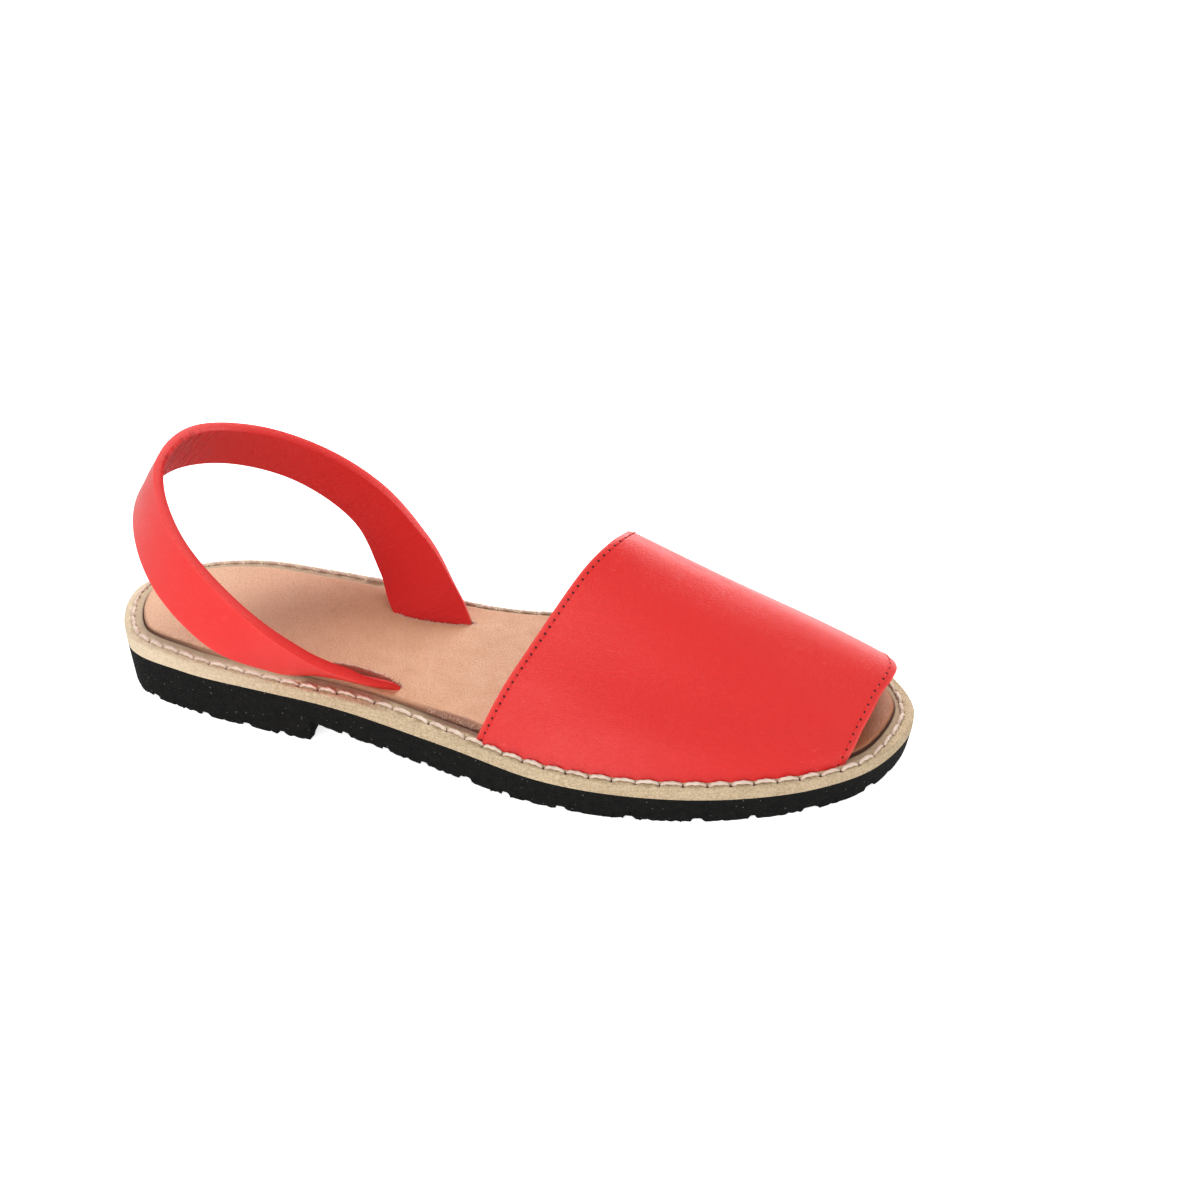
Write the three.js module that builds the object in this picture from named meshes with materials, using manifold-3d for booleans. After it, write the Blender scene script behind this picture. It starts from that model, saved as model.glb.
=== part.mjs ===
// A flat sling-back sandal for the right foot: a rubber sole with its heel in one piece,
// a thick leather midsole with a bare rim, an insole with two slots, a wide vamp that is
// open at the toe and the throat, and one strap that loops behind the heel.
// Millimetres. +X points to the toe, +Y to the inner side of the foot, +Z up. The origin
// is on the floor, under the middle of the shoe.
import * as THREE from 'three';
import { mergeVertices } from 'three/addons/utils/BufferGeometryUtils.js';
import Module from 'manifold-3d';

const wasm = await Module();
wasm.setup();

// Sole sizes
const SOLE_LENGTH = 258;
const BALL_WIDTH = 94;
const WAIST_WIDTH = 65;
const HEEL_WIDTH = 64;
const HEEL_RUBBER = 15.8;
const FOREFOOT_RUBBER = 8.5;
const HEEL_LIFT = 7.6;
const TOE_SPRING = 1;
const HEEL_UNDERCUT = 1.2;
const FOREFOOT_UNDERCUT = 0.8;
const BREAST_SLOPE = 0.8;
const TREAD_DEPTH = 1.2;

// Midsole and insole sizes
const MIDSOLE_THICKNESS = 4;
const MIDSOLE_EASE = 0.5;
const INSOLE_THICKNESS = 2.2;
const INSOLE_EASE = 0.5;
const RIM_WIDTH = 6.3;
const SLOT_LENGTH = 25;
const SLOT_WIDTH = 5.6;

// Upper sizes
const VAMP_THICKNESS = 2;
const VAMP_RIM = 2.5;
const INSTEP_HEIGHT = 63.4;
const TOE_HEIGHT = 29.6;
const STRAP_WIDTH = 22;
const STRAP_THICKNESS = 3;
const STRAP_HEIGHT = 75.5;
const STRAP_ROUNDING = 0.8;

// Clearances
const GLUE_GAP = 0.3;
const SLOT_CLEARANCE = 0.5;

// How far a cutter and a foot run past the face they meet
const RUN_PAST = 4;

// Fineness of the lofts
const PLATE_STATIONS = 64;
const OUTLINE_POINTS = 360;
const VAMP_STATIONS = 44;
const VAMP_ROWS = 12;
const STRAP_STATIONS = 72;
const CORNER_POINTS = 3;
const SURFACE_STEP = 0.002;
const PATH_STEP = 0.004;
const WELD_DISTANCE = 1e-4;

// Outline of the sole: share of its length from the heel, and how far it reaches to the
// outer (lateral) and inner (medial) side as shares of the width named in the row
const OUTLINE = [
  { at: 0.045, width: HEEL_WIDTH, lateral: 0.358, medial: 0.341 },
  { at: 0.13, width: HEEL_WIDTH, lateral: 0.486, medial: 0.467 },
  { at: 0.24, width: HEEL_WIDTH, lateral: 0.548, medial: 0.456 },
  { at: 0.36, width: WAIST_WIDTH, lateral: 0.575, medial: 0.428 },
  { at: 0.48, width: WAIST_WIDTH, lateral: 0.649, medial: 0.465 },
  { at: 0.6, width: BALL_WIDTH, lateral: 0.512, medial: 0.414 },
  { at: 0.71, width: BALL_WIDTH, lateral: 0.502, medial: 0.495 },
  { at: 0.81, width: BALL_WIDTH, lateral: 0.435, medial: 0.504 },
  { at: 0.9, width: BALL_WIDTH, lateral: 0.316, medial: 0.447 },
  { at: 0.965, width: BALL_WIDTH, lateral: 0.153, medial: 0.317 },
];
const HEEL_TIP = { at: 0, width: HEEL_WIDTH, medial: 0.06 };
const TOE_TIP = { at: 1, width: BALL_WIDTH, medial: 0.105 };

// Top of the rubber: share of the rise from forefoot to heel
const TOP_LINE = [
  { at: 0, rise: 0.95 },
  { at: 0.15, rise: 1 },
  { at: 0.3, rise: 1 },
  { at: 0.45, rise: 0.56 },
  { at: 0.6, rise: 0.19 },
  { at: 0.75, rise: 0.06 },
  { at: 0.88, rise: 0 },
  { at: 1, rise: 0 },
];

// Underside in front of the heel: share of the heel's lift, and of the toe spring
const HEEL_BREAST = 0.3;
const UNDERSIDE = [
  { at: 0.3, lift: 1, spring: 0 },
  { at: 0.34, lift: 0.68, spring: 0 },
  { at: 0.39, lift: 0.42, spring: 0 },
  { at: 0.44, lift: 0.23, spring: 0 },
  { at: 0.49, lift: 0.1, spring: 0 },
  { at: 0.55, lift: 0, spring: 0 },
  { at: 0.86, lift: 0, spring: 0 },
  { at: 0.93, lift: 0, spring: 0.3 },
  { at: 1, lift: 0, spring: 1 },
];

// Cross grooves of the tread: place and breadth as shares of the length
const GROOVES = [
  { at: 0.08, breadth: 0.018 },
  { at: 0.156, breadth: 0.02 },
  { at: 0.214, breadth: 0.02 },
  { at: 0.262, breadth: 0.014 },
  { at: 0.348, breadth: 0.017 },
  { at: 0.4, breadth: 0.016 },
  { at: 0.45, breadth: 0.016 },
  { at: 0.504, breadth: 0.028 },
  { at: 0.555, breadth: 0.017 },
  { at: 0.622, breadth: 0.02 },
  { at: 0.7, breadth: 0.021 },
  { at: 0.775, breadth: 0.023 },
  { at: 0.834, breadth: 0.013 },
  { at: 0.896, breadth: 0.03 },
  { at: 0.958, breadth: 0.016 },
];

// The vamp's back edge and front edge, from the outer side over the foot to the inner
// side: forward as a share of the sole's length, side of the ball width, up of the
// instep height or the toe height
const VAMP = [
  { at: 0.083, back: [0.535, -0.364, 0.442], front: [0.936, -0.191, 0.561] },
  { at: 0.167, back: [0.559, -0.277, 0.617], front: [0.943, -0.146, 0.679] },
  { at: 0.25, back: [0.584, -0.18, 0.781], front: [0.95, -0.093, 0.79] },
  { at: 0.333, back: [0.609, -0.074, 0.922], front: [0.957, -0.036, 0.889] },
  { at: 0.417, back: [0.63, 0.013, 0.994], front: [0.963, 0.021, 0.966] },
  { at: 0.5, back: [0.643, 0.098, 0.994], front: [0.966, 0.079, 1] },
  { at: 0.583, back: [0.64, 0.184, 0.924], front: [0.964, 0.133, 0.973] },
  { at: 0.667, back: [0.628, 0.277, 0.811], front: [0.959, 0.185, 0.889] },
  { at: 0.75, back: [0.611, 0.362, 0.67], front: [0.954, 0.233, 0.774] },
  { at: 0.833, back: [0.591, 0.413, 0.509], front: [0.948, 0.277, 0.659] },
  { at: 0.917, back: [0.568, 0.411, 0.356], front: [0.942, 0.318, 0.551] },
];
const VAMP_FEET = {
  lateral: { back: 0.515, front: 0.928 },
  medial: { back: 0.544, front: 0.937 },
};

// The strap's middle line from the outer slot round the heel to the inner slot: forward
// as a share of the sole's length, side of the heel width, up of the strap height.
// lean is the direction across the strap, from its lower edge to its upper edge
const STRAP = [
  { at: -0.04, forward: 0.364, side: -0.4, up: 0.13, lean: [1, -0.06, -0.06] },
  { at: 0, forward: 0.363, side: -0.42, up: 0.234, lean: [1, -0.1, -0.04] },
  { at: 0.05, forward: 0.338, side: -0.523, up: 0.345, lean: [0.94, -0.31, 0.17] },
  { at: 0.11, forward: 0.291, side: -0.615, up: 0.43, lean: [0.69, -0.41, 0.6] },
  { at: 0.2, forward: 0.223, side: -0.664, up: 0.582, lean: [0.59, -0.17, 0.79] },
  { at: 0.3, forward: 0.151, side: -0.574, up: 0.789, lean: [0.53, -0.12, 0.84] },
  { at: 0.4, forward: 0.102, side: -0.323, up: 0.947, lean: [0.54, -0.15, 0.83] },
  { at: 0.5, forward: 0.095, side: 0.017, up: 0.997, lean: [0.63, -0.16, 0.76] },
  { at: 0.6, forward: 0.136, side: 0.322, up: 0.929, lean: [0.67, -0.26, 0.69] },
  { at: 0.7, forward: 0.204, side: 0.516, up: 0.791, lean: [0.6, -0.36, 0.72] },
  { at: 0.8, forward: 0.279, side: 0.542, up: 0.621, lean: [0.52, -0.27, 0.81] },
  { at: 0.89, forward: 0.339, side: 0.399, up: 0.46, lean: [0.69, 0.06, 0.72] },
  { at: 0.95, forward: 0.374, side: 0.257, up: 0.36, lean: [0.91, 0.24, 0.33] },
  { at: 1, forward: 0.4, side: 0.188, up: 0.24, lean: [0.98, 0.17, -0.08] },
  { at: 1.04, forward: 0.402, side: 0.17, up: 0.13, lean: [0.98, 0.17, -0.08] },
];

// The slots: middle as shares of length and heel width, turn in degrees about +Z
const SLOTS = [
  { forward: 0.365, side: -0.395, turn: -8 },
  { forward: 0.398, side: 0.19, turn: 9 },
];

// Curve through a table's column, smooth in between
function along(rows, at, value) {
  let i = 0;
  while (i < rows.length - 2 && at > rows[i + 1].at) i += 1;
  const slope = (k) => {
    const before = Math.max(k - 1, 0);
    const after = Math.min(k + 1, rows.length - 1);
    return (value(rows[after]) - value(rows[before])) / (rows[after].at - rows[before].at);
  };
  const step = rows[i + 1].at - rows[i].at;
  const t = Math.min(Math.max((at - rows[i].at) / step, 0), 1);
  const start = value(rows[i]);
  const end = value(rows[i + 1]);
  const rise = t * t * (3 - 2 * t);
  return start + (end - start) * rise
    + slope(i) * step * t * (1 - t) * (1 - t)
    - slope(i + 1) * step * t * t * (1 - t);
}

function share(x) {
  return x / SOLE_LENGTH + 0.5;
}

function forward(at) {
  return (at - 0.5) * SOLE_LENGTH;
}

function rubberTop(x) {
  const rise = along(TOP_LINE, share(x), (row) => row.rise);
  return FOREFOOT_RUBBER + (HEEL_RUBBER - FOREFOOT_RUBBER) * rise;
}

function rubberUnderside(x) {
  if (share(x) < HEEL_BREAST) return 0;
  const lift = Math.max(along(UNDERSIDE, share(x), (row) => row.lift), 0);
  const spring = Math.max(along(UNDERSIDE, share(x), (row) => row.spring), 0);
  return HEEL_LIFT * lift + TOE_SPRING * spring;
}

function midsoleUnderside(x) {
  return rubberTop(x) + GLUE_GAP;
}

function midsoleTop(x) {
  return midsoleUnderside(x) + MIDSOLE_THICKNESS;
}

function insoleUnderside(x) {
  return midsoleTop(x) + GLUE_GAP;
}

function insoleTop(x) {
  return insoleUnderside(x) + INSOLE_THICKNESS;
}

// Outline curve, once round from the heel tip along the outer side
const outerPoint = (row) => new THREE.Vector3(forward(row.at), -row.lateral * row.width, 0);
const innerPoint = (row) => new THREE.Vector3(forward(row.at), row.medial * row.width, 0);
const outlineCurve = new THREE.CatmullRomCurve3([
  innerPoint(HEEL_TIP),
  ...OUTLINE.map(outerPoint),
  innerPoint(TOE_TIP),
  ...OUTLINE.map(innerPoint).reverse(),
], true, 'centripetal');

// The outline moved inwards, split at its heel and toe into an outer and an inner side
function outlineSides(inset) {
  const points = [];
  for (let i = 0; i < OUTLINE_POINTS; i += 1) {
    const point = outlineCurve.getPoint(i / OUTLINE_POINTS);
    const tangent = outlineCurve.getTangent(i / OUTLINE_POINTS);
    points.push([point.x - tangent.y * inset, point.y + tangent.x * inset]);
  }
  let heel = 0;
  let toe = 0;
  points.forEach((point, i) => {
    if (point[0] < points[heel][0]) heel = i;
    if (point[0] > points[toe][0]) toe = i;
  });
  const walk = (from, to) => {
    const side = [];
    for (let i = from; ; i = (i + 1) % OUTLINE_POINTS) {
      side.push(points[i]);
      if (i === to) return side;
    }
  };
  return { lateral: walk(heel, toe), medial: walk(toe, heel).reverse() };
}

function sideAt(side, x) {
  let i = 1;
  while (i < side.length - 1 && side[i][0] < x) i += 1;
  const [x0, y0] = side[i - 1];
  const [x1, y1] = side[i];
  const t = Math.min(Math.max((x - x0) / (x1 - x0), 0), 1);
  return y0 + (y1 - y0) * t;
}

// A closed body from rings of points: neighbours are joined, and each end is closed by
// strips between the first and the last points of its ring
function loft(rings) {
  const count = rings[0].length;
  const positions = rings.flat(2);
  const faces = [];
  for (let i = 0; i < rings.length - 1; i += 1) {
    for (let j = 0; j < count; j += 1) {
      const a = i * count + j;
      const b = i * count + (j + 1) % count;
      faces.push(a, b, b + count, a, b + count, a + count);
    }
  }
  const last = (rings.length - 1) * count;
  for (let j = 0; j < count / 2 - 1; j += 1) {
    const k = count - 1 - j;
    faces.push(j, k, k - 1, j, k - 1, j + 1);
    faces.push(last + j, last + k - 1, last + k, last + j, last + j + 1, last + k - 1);
  }
  const geometry = new THREE.BufferGeometry();
  geometry.setAttribute('position', new THREE.Float32BufferAttribute(positions, 3));
  geometry.setIndex(faces);
  return solid(geometry);
}

function solid(geometry) {
  const bare = geometry.clone();
  bare.deleteAttribute('normal');
  bare.deleteAttribute('uv');
  const merged = mergeVertices(bare, WELD_DISTANCE);
  const points = merged.attributes.position.array;
  const index = merged.index.array;
  const faces = [];
  let volume = 0;
  for (let i = 0; i < index.length; i += 3) {
    const [a, b, c] = [index[i], index[i + 1], index[i + 2]];
    if (a === b || b === c || a === c) continue;
    faces.push(a, b, c);
    const [pa, pb, pc] = [a, b, c].map((k) => new THREE.Vector3().fromArray(points, 3 * k));
    volume += pa.dot(pb.cross(pc));
  }
  if (volume < 0) faces.reverse();
  return new wasm.Manifold(new wasm.Mesh({
    numProp: 3,
    vertProperties: Float32Array.from(points),
    triVerts: Uint32Array.from(faces),
  }));
}

// A plate with the sole's outline. Each level of its side has an inset and a height. An
// inset that changes along the sole is read off between the outline and one 1 mm inside
function plate(levels) {
  const sides = levels.map((level) => outlineSides(level.inset(0)));
  const deeper = levels.map((level) => outlineSides(level.inset(0) + 1));
  const rings = [];
  for (let i = 0; i <= PLATE_STATIONS; i += 1) {
    const t = (1 - Math.cos(Math.PI * i / PLATE_STATIONS)) / 2;
    const ring = { lateral: [], medial: [] };
    levels.forEach((level, k) => {
      ['lateral', 'medial'].forEach((name) => {
        const side = sides[k][name];
        const start = side[0][0];
        const x = start + (side[side.length - 1][0] - start) * t;
        const y = sideAt(side, x);
        const inner = sideAt(deeper[k][name], x);
        const extra = level.inset(x) - level.inset(0);
        ring[name].push([x, y + (inner - y) * extra, level.height(x)]);
      });
    });
    rings.push([...ring.lateral, ...ring.medial.reverse()]);
  }
  return loft(rings);
}

function box(xSize, ySize, zSize, x, y, z) {
  return solid(new THREE.BoxGeometry(xSize, ySize, zSize).translate(x, y, z));
}

// Rubber sole: heel and forefoot in one piece, with grooves across
function makeOutsole() {
  const undercut = (x) => {
    const heel = along(TOP_LINE, share(x), (row) => row.rise);
    return FOREFOOT_UNDERCUT + (HEEL_UNDERCUT - FOREFOOT_UNDERCUT) * heel;
  };
  const blank = plate([
    { inset: undercut, height: () => 0 },
    { inset: () => 0, height: rubberTop },
  ]);
  return blank.subtract(waistSpace()).subtract(grooves());
}

// The space under the waist and the toe, in front of the heel breast
function waistSpace() {
  const rings = [];
  const start = forward(HEEL_BREAST);
  const end = forward(1) + RUN_PAST;
  for (let i = 0; i <= PLATE_STATIONS; i += 1) {
    const x = start + (end - start) * i / PLATE_STATIONS;
    const z = rubberUnderside(x);
    const low = i === 0 ? x - BREAST_SLOPE : x;
    rings.push([
      [low, -BALL_WIDTH, -RUN_PAST],
      [x, -BALL_WIDTH, z],
      [x, BALL_WIDTH, z],
      [low, BALL_WIDTH, -RUN_PAST],
    ]);
  }
  return loft(rings);
}

function grooves() {
  const cuts = GROOVES.map((row) => {
    const x = forward(row.at);
    const top = rubberUnderside(x) + TREAD_DEPTH;
    const height = top + RUN_PAST;
    return box(row.breadth * SOLE_LENGTH, 2 * BALL_WIDTH, height, x, 0, top - height / 2);
  });
  return wasm.Manifold.union(cuts);
}

// Midsole: its rim shows outside the insole and carries the stitches
function makeMidsole() {
  return plate([
    { inset: () => 0, height: midsoleUnderside },
    { inset: () => 0, height: (x) => midsoleTop(x) - MIDSOLE_EASE },
    { inset: () => MIDSOLE_EASE, height: midsoleTop },
  ]);
}

// Insole: inside the rim, cut free of the vamp's feet, with a slot for each strap end
function makeInsole() {
  const blank = plate([
    { inset: () => RIM_WIDTH, height: insoleUnderside },
    { inset: () => RIM_WIDTH, height: (x) => insoleTop(x) - INSOLE_EASE },
    { inset: () => RIM_WIDTH + INSOLE_EASE, height: insoleTop },
  ]);
  return blank
    .subtract(vampSheet(-GLUE_GAP, VAMP_THICKNESS + GLUE_GAP))
    .subtract(strapBody(SLOT_CLEARANCE))
    .subtract(slots());
}

function slots() {
  const cuts = SLOTS.map((row) => {
    const outline = new THREE.Shape();
    outline.absellipse(0, 0, SLOT_LENGTH / 2, SLOT_WIDTH / 2, 0, 2 * Math.PI);
    const x = forward(row.forward);
    const height = INSOLE_THICKNESS + 2 * RUN_PAST;
    const geometry = new THREE.ExtrudeGeometry(outline, { depth: height, bevelEnabled: false });
    geometry.rotateZ(THREE.MathUtils.degToRad(row.turn));
    geometry.translate(x, row.side * HEEL_WIDTH, insoleUnderside(x) - RUN_PAST);
    return solid(geometry);
  });
  return wasm.Manifold.union(cuts);
}

// Everything up to the midsole's top, and the glue gap above it
function soleSpace() {
  return plate([
    { inset: () => -RIM_WIDTH, height: () => -RUN_PAST },
    { inset: () => -RIM_WIDTH, height: (x) => midsoleTop(x) + GLUE_GAP },
  ]);
}

// Vamp surface: straight lines from its back edge to its front edge, let out at the feet
// so that they follow the sole's rim. u runs to the toe, v over the foot
const footSides = outlineSides(VAMP_RIM);

function foot(side, u) {
  const { back, front } = VAMP_FEET[side];
  const x = forward(back + (front - back) * u);
  return new THREE.Vector3(x, sideAt(footSides[side], x), midsoleTop(x));
}

function vampEdge(edge, height, v) {
  const u = edge === 'back' ? 0 : 1;
  const rows = [
    { at: 0, place: foot('lateral', u) },
    ...VAMP.map((row) => ({
      at: row.at,
      place: new THREE.Vector3(
        forward(row[edge][0]), row[edge][1] * BALL_WIDTH, row[edge][2] * height),
    })),
    { at: 1, place: foot('medial', u) },
  ];
  return new THREE.Vector3(
    along(rows, v, (row) => row.place.x),
    along(rows, v, (row) => row.place.y),
    along(rows, v, (row) => row.place.z));
}

function vampPoint(u, v) {
  const back = vampEdge('back', INSTEP_HEIGHT, v);
  const front = vampEdge('front', TOE_HEIGHT, v);
  const point = back.lerp(front, u);
  const side = v < 0.5 ? 'lateral' : 'medial';
  const chord = foot(side, 0).lerp(foot(side, 1), u);
  const letOut = foot(side, u).sub(chord);
  const near = Math.cos(Math.PI * Math.min(v, 1 - v)) ** 2;
  return point.addScaledVector(letOut, near);
}

function vampNormal(u, v) {
  const before = (at) => Math.max(at - SURFACE_STEP, 0);
  const after = (at) => Math.min(at + SURFACE_STEP, 1);
  const du = vampPoint(after(u), v).sub(vampPoint(before(u), v));
  const dv = vampPoint(u, after(v)).sub(vampPoint(u, before(v)));
  return du.cross(dv).normalize();
}

// The vamp's wall between two depths under its outer surface, with its feet run on
// below the midsole's top
function vampSheet(from, to) {
  const rings = [];
  for (let i = -1; i <= VAMP_STATIONS + 1; i += 1) {
    const v = Math.min(Math.max(i / VAMP_STATIONS, 0), 1);
    const drop = i < 0 || i > VAMP_STATIONS ? RUN_PAST : 0;
    const outer = [];
    const inner = [];
    for (let j = 0; j <= VAMP_ROWS; j += 1) {
      const point = vampPoint(j / VAMP_ROWS, v);
      const normal = vampNormal(j / VAMP_ROWS, v);
      point.z -= drop;
      outer.push(point.clone().addScaledVector(normal, -from).toArray());
      inner.push(point.clone().addScaledVector(normal, -to).toArray());
    }
    rings.push([...outer, ...inner.reverse()]);
  }
  return loft(rings);
}

function makeVamp() {
  return vampSheet(0, VAMP_THICKNESS).subtract(soleSpace());
}

// Strap: one section with rounded corners, carried along its middle line
function strapSection(clearance) {
  const half = { across: STRAP_WIDTH / 2 + clearance, through: STRAP_THICKNESS / 2 + clearance };
  const radius = half.through * STRAP_ROUNDING;
  const section = [];
  [[1, 1], [-1, 1], [-1, -1], [1, -1]].forEach(([a, b], quarter) => {
    for (let i = 0; i < CORNER_POINTS; i += 1) {
      const angle = (quarter + i / (CORNER_POINTS - 1)) * Math.PI / 2;
      section.push([
        a * (half.across - radius) + Math.cos(angle) * radius,
        b * (half.through - radius) + Math.sin(angle) * radius,
      ]);
    }
  });
  return section;
}

function strapMiddle(at) {
  return new THREE.Vector3(
    forward(along(STRAP, at, (row) => row.forward)),
    along(STRAP, at, (row) => row.side) * HEEL_WIDTH,
    along(STRAP, at, (row) => row.up) * STRAP_HEIGHT);
}

function strapLean(at) {
  return new THREE.Vector3(
    along(STRAP, at, (row) => row.lean[0]),
    along(STRAP, at, (row) => row.lean[1]),
    along(STRAP, at, (row) => row.lean[2])).normalize();
}

function strapBody(clearance) {
  const section = strapSection(clearance);
  const start = STRAP[0].at;
  const end = STRAP[STRAP.length - 1].at;
  const rings = [];
  for (let i = 0; i <= STRAP_STATIONS; i += 1) {
    const at = start + (end - start) * i / STRAP_STATIONS;
    const tangent = strapMiddle(at + PATH_STEP).sub(strapMiddle(at - PATH_STEP)).normalize();
    const across = strapLean(at);
    across.addScaledVector(tangent, -across.dot(tangent)).normalize();
    const through = tangent.cross(across).normalize();
    rings.push(section.map(([a, b]) => strapMiddle(at)
      .addScaledVector(across, a)
      .addScaledVector(through, b)
      .toArray()));
  }
  return loft(rings);
}

function makeStrap() {
  return strapBody(0).subtract(soleSpace());
}

// Materials
const rubber = new THREE.MeshStandardMaterial({ color: 0x1c1c1c, roughness: 0.9, metalness: 0 });
const rawLeather = new THREE.MeshStandardMaterial({ color: 0xd3bf97, roughness: 0.8, metalness: 0 });
const tanLeather = new THREE.MeshStandardMaterial({ color: 0xe0ac8c, roughness: 0.6, metalness: 0 });
const redLeather = new THREE.MeshStandardMaterial({ color: 0xe5302c, roughness: 0.45, metalness: 0 });

function mesh(name, body, material) {
  const { numProp, vertProperties, triVerts } = body.getMesh();
  const geometry = new THREE.BufferGeometry();
  geometry.setAttribute('position', new THREE.BufferAttribute(vertProperties, numProp));
  geometry.setIndex(new THREE.BufferAttribute(triVerts, 1));
  geometry.computeVertexNormals();
  const piece = new THREE.Mesh(geometry, material);
  piece.name = name;
  return piece;
}

const sandal = new THREE.Group();
sandal.add(mesh('outsole', makeOutsole(), rubber));
sandal.add(mesh('midsole', makeMidsole(), rawLeather));
sandal.add(mesh('insole', makeInsole(), tanLeather));
sandal.add(mesh('vamp', makeVamp(), redLeather));
sandal.add(mesh('heel_strap', makeStrap(), redLeather));

export default sandal;
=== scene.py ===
# %% [markdown]
# A flat sling-back sandal for the right foot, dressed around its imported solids.
# The real one is put together from a grooved rubber sole, a thick raw leather layer whose
# rim shows all round, a smooth tan insole with two slots, one wide red vamp and one red
# strap that comes out of the slots and loops behind the heel.
# The solids hold every size. Here each of them gets a finer skin on the same curves, then
# its stitches, creases and finish.

# %% Load the solids
import math
import random

import bpy
import numpy as np
from mathutils import Matrix, Vector


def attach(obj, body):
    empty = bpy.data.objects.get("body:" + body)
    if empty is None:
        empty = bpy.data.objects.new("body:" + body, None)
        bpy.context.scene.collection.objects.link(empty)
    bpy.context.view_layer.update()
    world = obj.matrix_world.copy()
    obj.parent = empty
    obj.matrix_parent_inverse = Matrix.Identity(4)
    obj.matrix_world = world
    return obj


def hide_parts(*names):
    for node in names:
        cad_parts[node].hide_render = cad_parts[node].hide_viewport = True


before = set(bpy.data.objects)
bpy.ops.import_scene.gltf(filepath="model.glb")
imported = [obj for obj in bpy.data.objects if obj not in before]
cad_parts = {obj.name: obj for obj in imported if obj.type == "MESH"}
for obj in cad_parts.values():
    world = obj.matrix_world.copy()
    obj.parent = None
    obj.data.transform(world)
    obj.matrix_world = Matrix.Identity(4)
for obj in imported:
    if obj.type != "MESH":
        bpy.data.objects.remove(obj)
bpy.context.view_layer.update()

# %% [markdown]
# The sole's sizes come first, because everything else is lasted onto them. A shoemaker
# keeps them as a few lengths and a pattern card. Here they are a few named sizes in metres
# and short tables of shares, nearly the same as in the solids, so that the skins fit them.

# %% Table helper
def table(columns, rows):
    """Rows of a pattern card by their column names. at is a share of the length."""
    return [dict(zip(columns.split(), row)) for row in rows]


# %% Sizes of the sole
SOLE_LENGTH = 0.258
BALL_WIDTH = 0.094
WAIST_WIDTH = 0.065
HEEL_WIDTH = 0.064
HEEL_RUBBER = 0.0158
FOREFOOT_RUBBER = 0.0085
HEEL_LIFT = 0.0076
TOE_SPRING = 0.001
UNDERCUT = 0.001
TREAD_DEPTH = 0.0012
MIDSOLE_THICKNESS = 0.004
INSOLE_THICKNESS = 0.0022
RIM_WIDTH = 0.0063
GLUE_GAP = 0.0003

OUTLINE = table("at width lateral medial", [
    (0.045, HEEL_WIDTH, 0.358, 0.347),
    (0.13, HEEL_WIDTH, 0.486, 0.483),
    (0.24, HEEL_WIDTH, 0.548, 0.472),
    (0.36, WAIST_WIDTH, 0.575, 0.442),
    (0.48, WAIST_WIDTH, 0.649, 0.47),
    (0.6, BALL_WIDTH, 0.512, 0.414),
    (0.71, BALL_WIDTH, 0.502, 0.495),
    (0.81, BALL_WIDTH, 0.435, 0.504),
    (0.9, BALL_WIDTH, 0.316, 0.447),
    (0.965, BALL_WIDTH, 0.153, 0.317),
])
HEEL_TIP = {"at": 0, "width": HEEL_WIDTH, "medial": 0.06}
TOE_TIP = {"at": 1, "width": BALL_WIDTH, "medial": 0.105}

TOP_LINE = table("at rise", [
    (0, 0.95),
    (0.15, 1),
    (0.3, 1),
    (0.45, 0.56),
    (0.6, 0.19),
    (0.75, 0.06),
    (0.88, 0),
    (1, 0),
])
HEEL_BREAST = 0.3
UNDERSIDE = table("at lift spring", [
    (0.3, 1, 0),
    (0.34, 0.68, 0),
    (0.39, 0.42, 0),
    (0.44, 0.23, 0),
    (0.49, 0.1, 0),
    (0.55, 0, 0),
    (0.86, 0, 0),
    (0.93, 0, 0.3),
    (1, 0, 1),
])
GROOVES = table("at breadth", [
    (0.08, 0.018),
    (0.156, 0.02),
    (0.214, 0.02),
    (0.262, 0.014),
    (0.348, 0.017),
    (0.4, 0.016),
    (0.45, 0.016),
    (0.504, 0.028),
    (0.555, 0.017),
    (0.622, 0.02),
    (0.7, 0.021),
    (0.775, 0.023),
    (0.834, 0.013),
    (0.896, 0.03),
    (0.958, 0.016),
])

# %% Curves through the tables
def along(rows, at, column):
    """Smooth curve through one column of a table, read at one or many places."""
    knots = np.array([row["at"] for row in rows], float)
    values = np.array([row[column] for row in rows], float)
    last = len(rows) - 1
    before = np.maximum(np.arange(last + 1) - 1, 0)
    after = np.minimum(np.arange(last + 1) + 1, last)
    slopes = (values[after] - values[before]) / (knots[after] - knots[before])
    at = np.asarray(at, float)
    i = np.clip(np.searchsorted(knots, at) - 1, 0, last - 1)
    step = knots[i + 1] - knots[i]
    t = np.clip((at - knots[i]) / step, 0, 1)
    rise = t * t * (3 - 2 * t)
    return (values[i] + (values[i + 1] - values[i]) * rise
            + slopes[i] * step * t * (1 - t) ** 2 - slopes[i + 1] * step * t * t * (1 - t))


def share(x):
    return x / SOLE_LENGTH + 0.5


def forward(at):
    return (np.asarray(at, float) - 0.5) * SOLE_LENGTH


def rubber_top(x):
    return FOREFOOT_RUBBER + (HEEL_RUBBER - FOREFOOT_RUBBER) * along(TOP_LINE, share(x), "rise")


def midsole_top(x):
    return rubber_top(x) + GLUE_GAP + MIDSOLE_THICKNESS


def insole_top(x):
    return midsole_top(x) + GLUE_GAP + INSOLE_THICKNESS


print("insole over the floor at heel and ball, mm:",
      [round(float(insole_top(forward(at))) * 1000, 1) for at in (0.15, 0.7)])

# %% [markdown]
# The outline is one closed curve through the pattern's points, once round from the heel
# tip along the outer side. It could be a Bezier curve object. A list of close points is
# handier, because stitches, rims and edges all need its length and its inward direction.

# %% Outline of the sole
OUTLINE_POINTS = 4000


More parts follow.
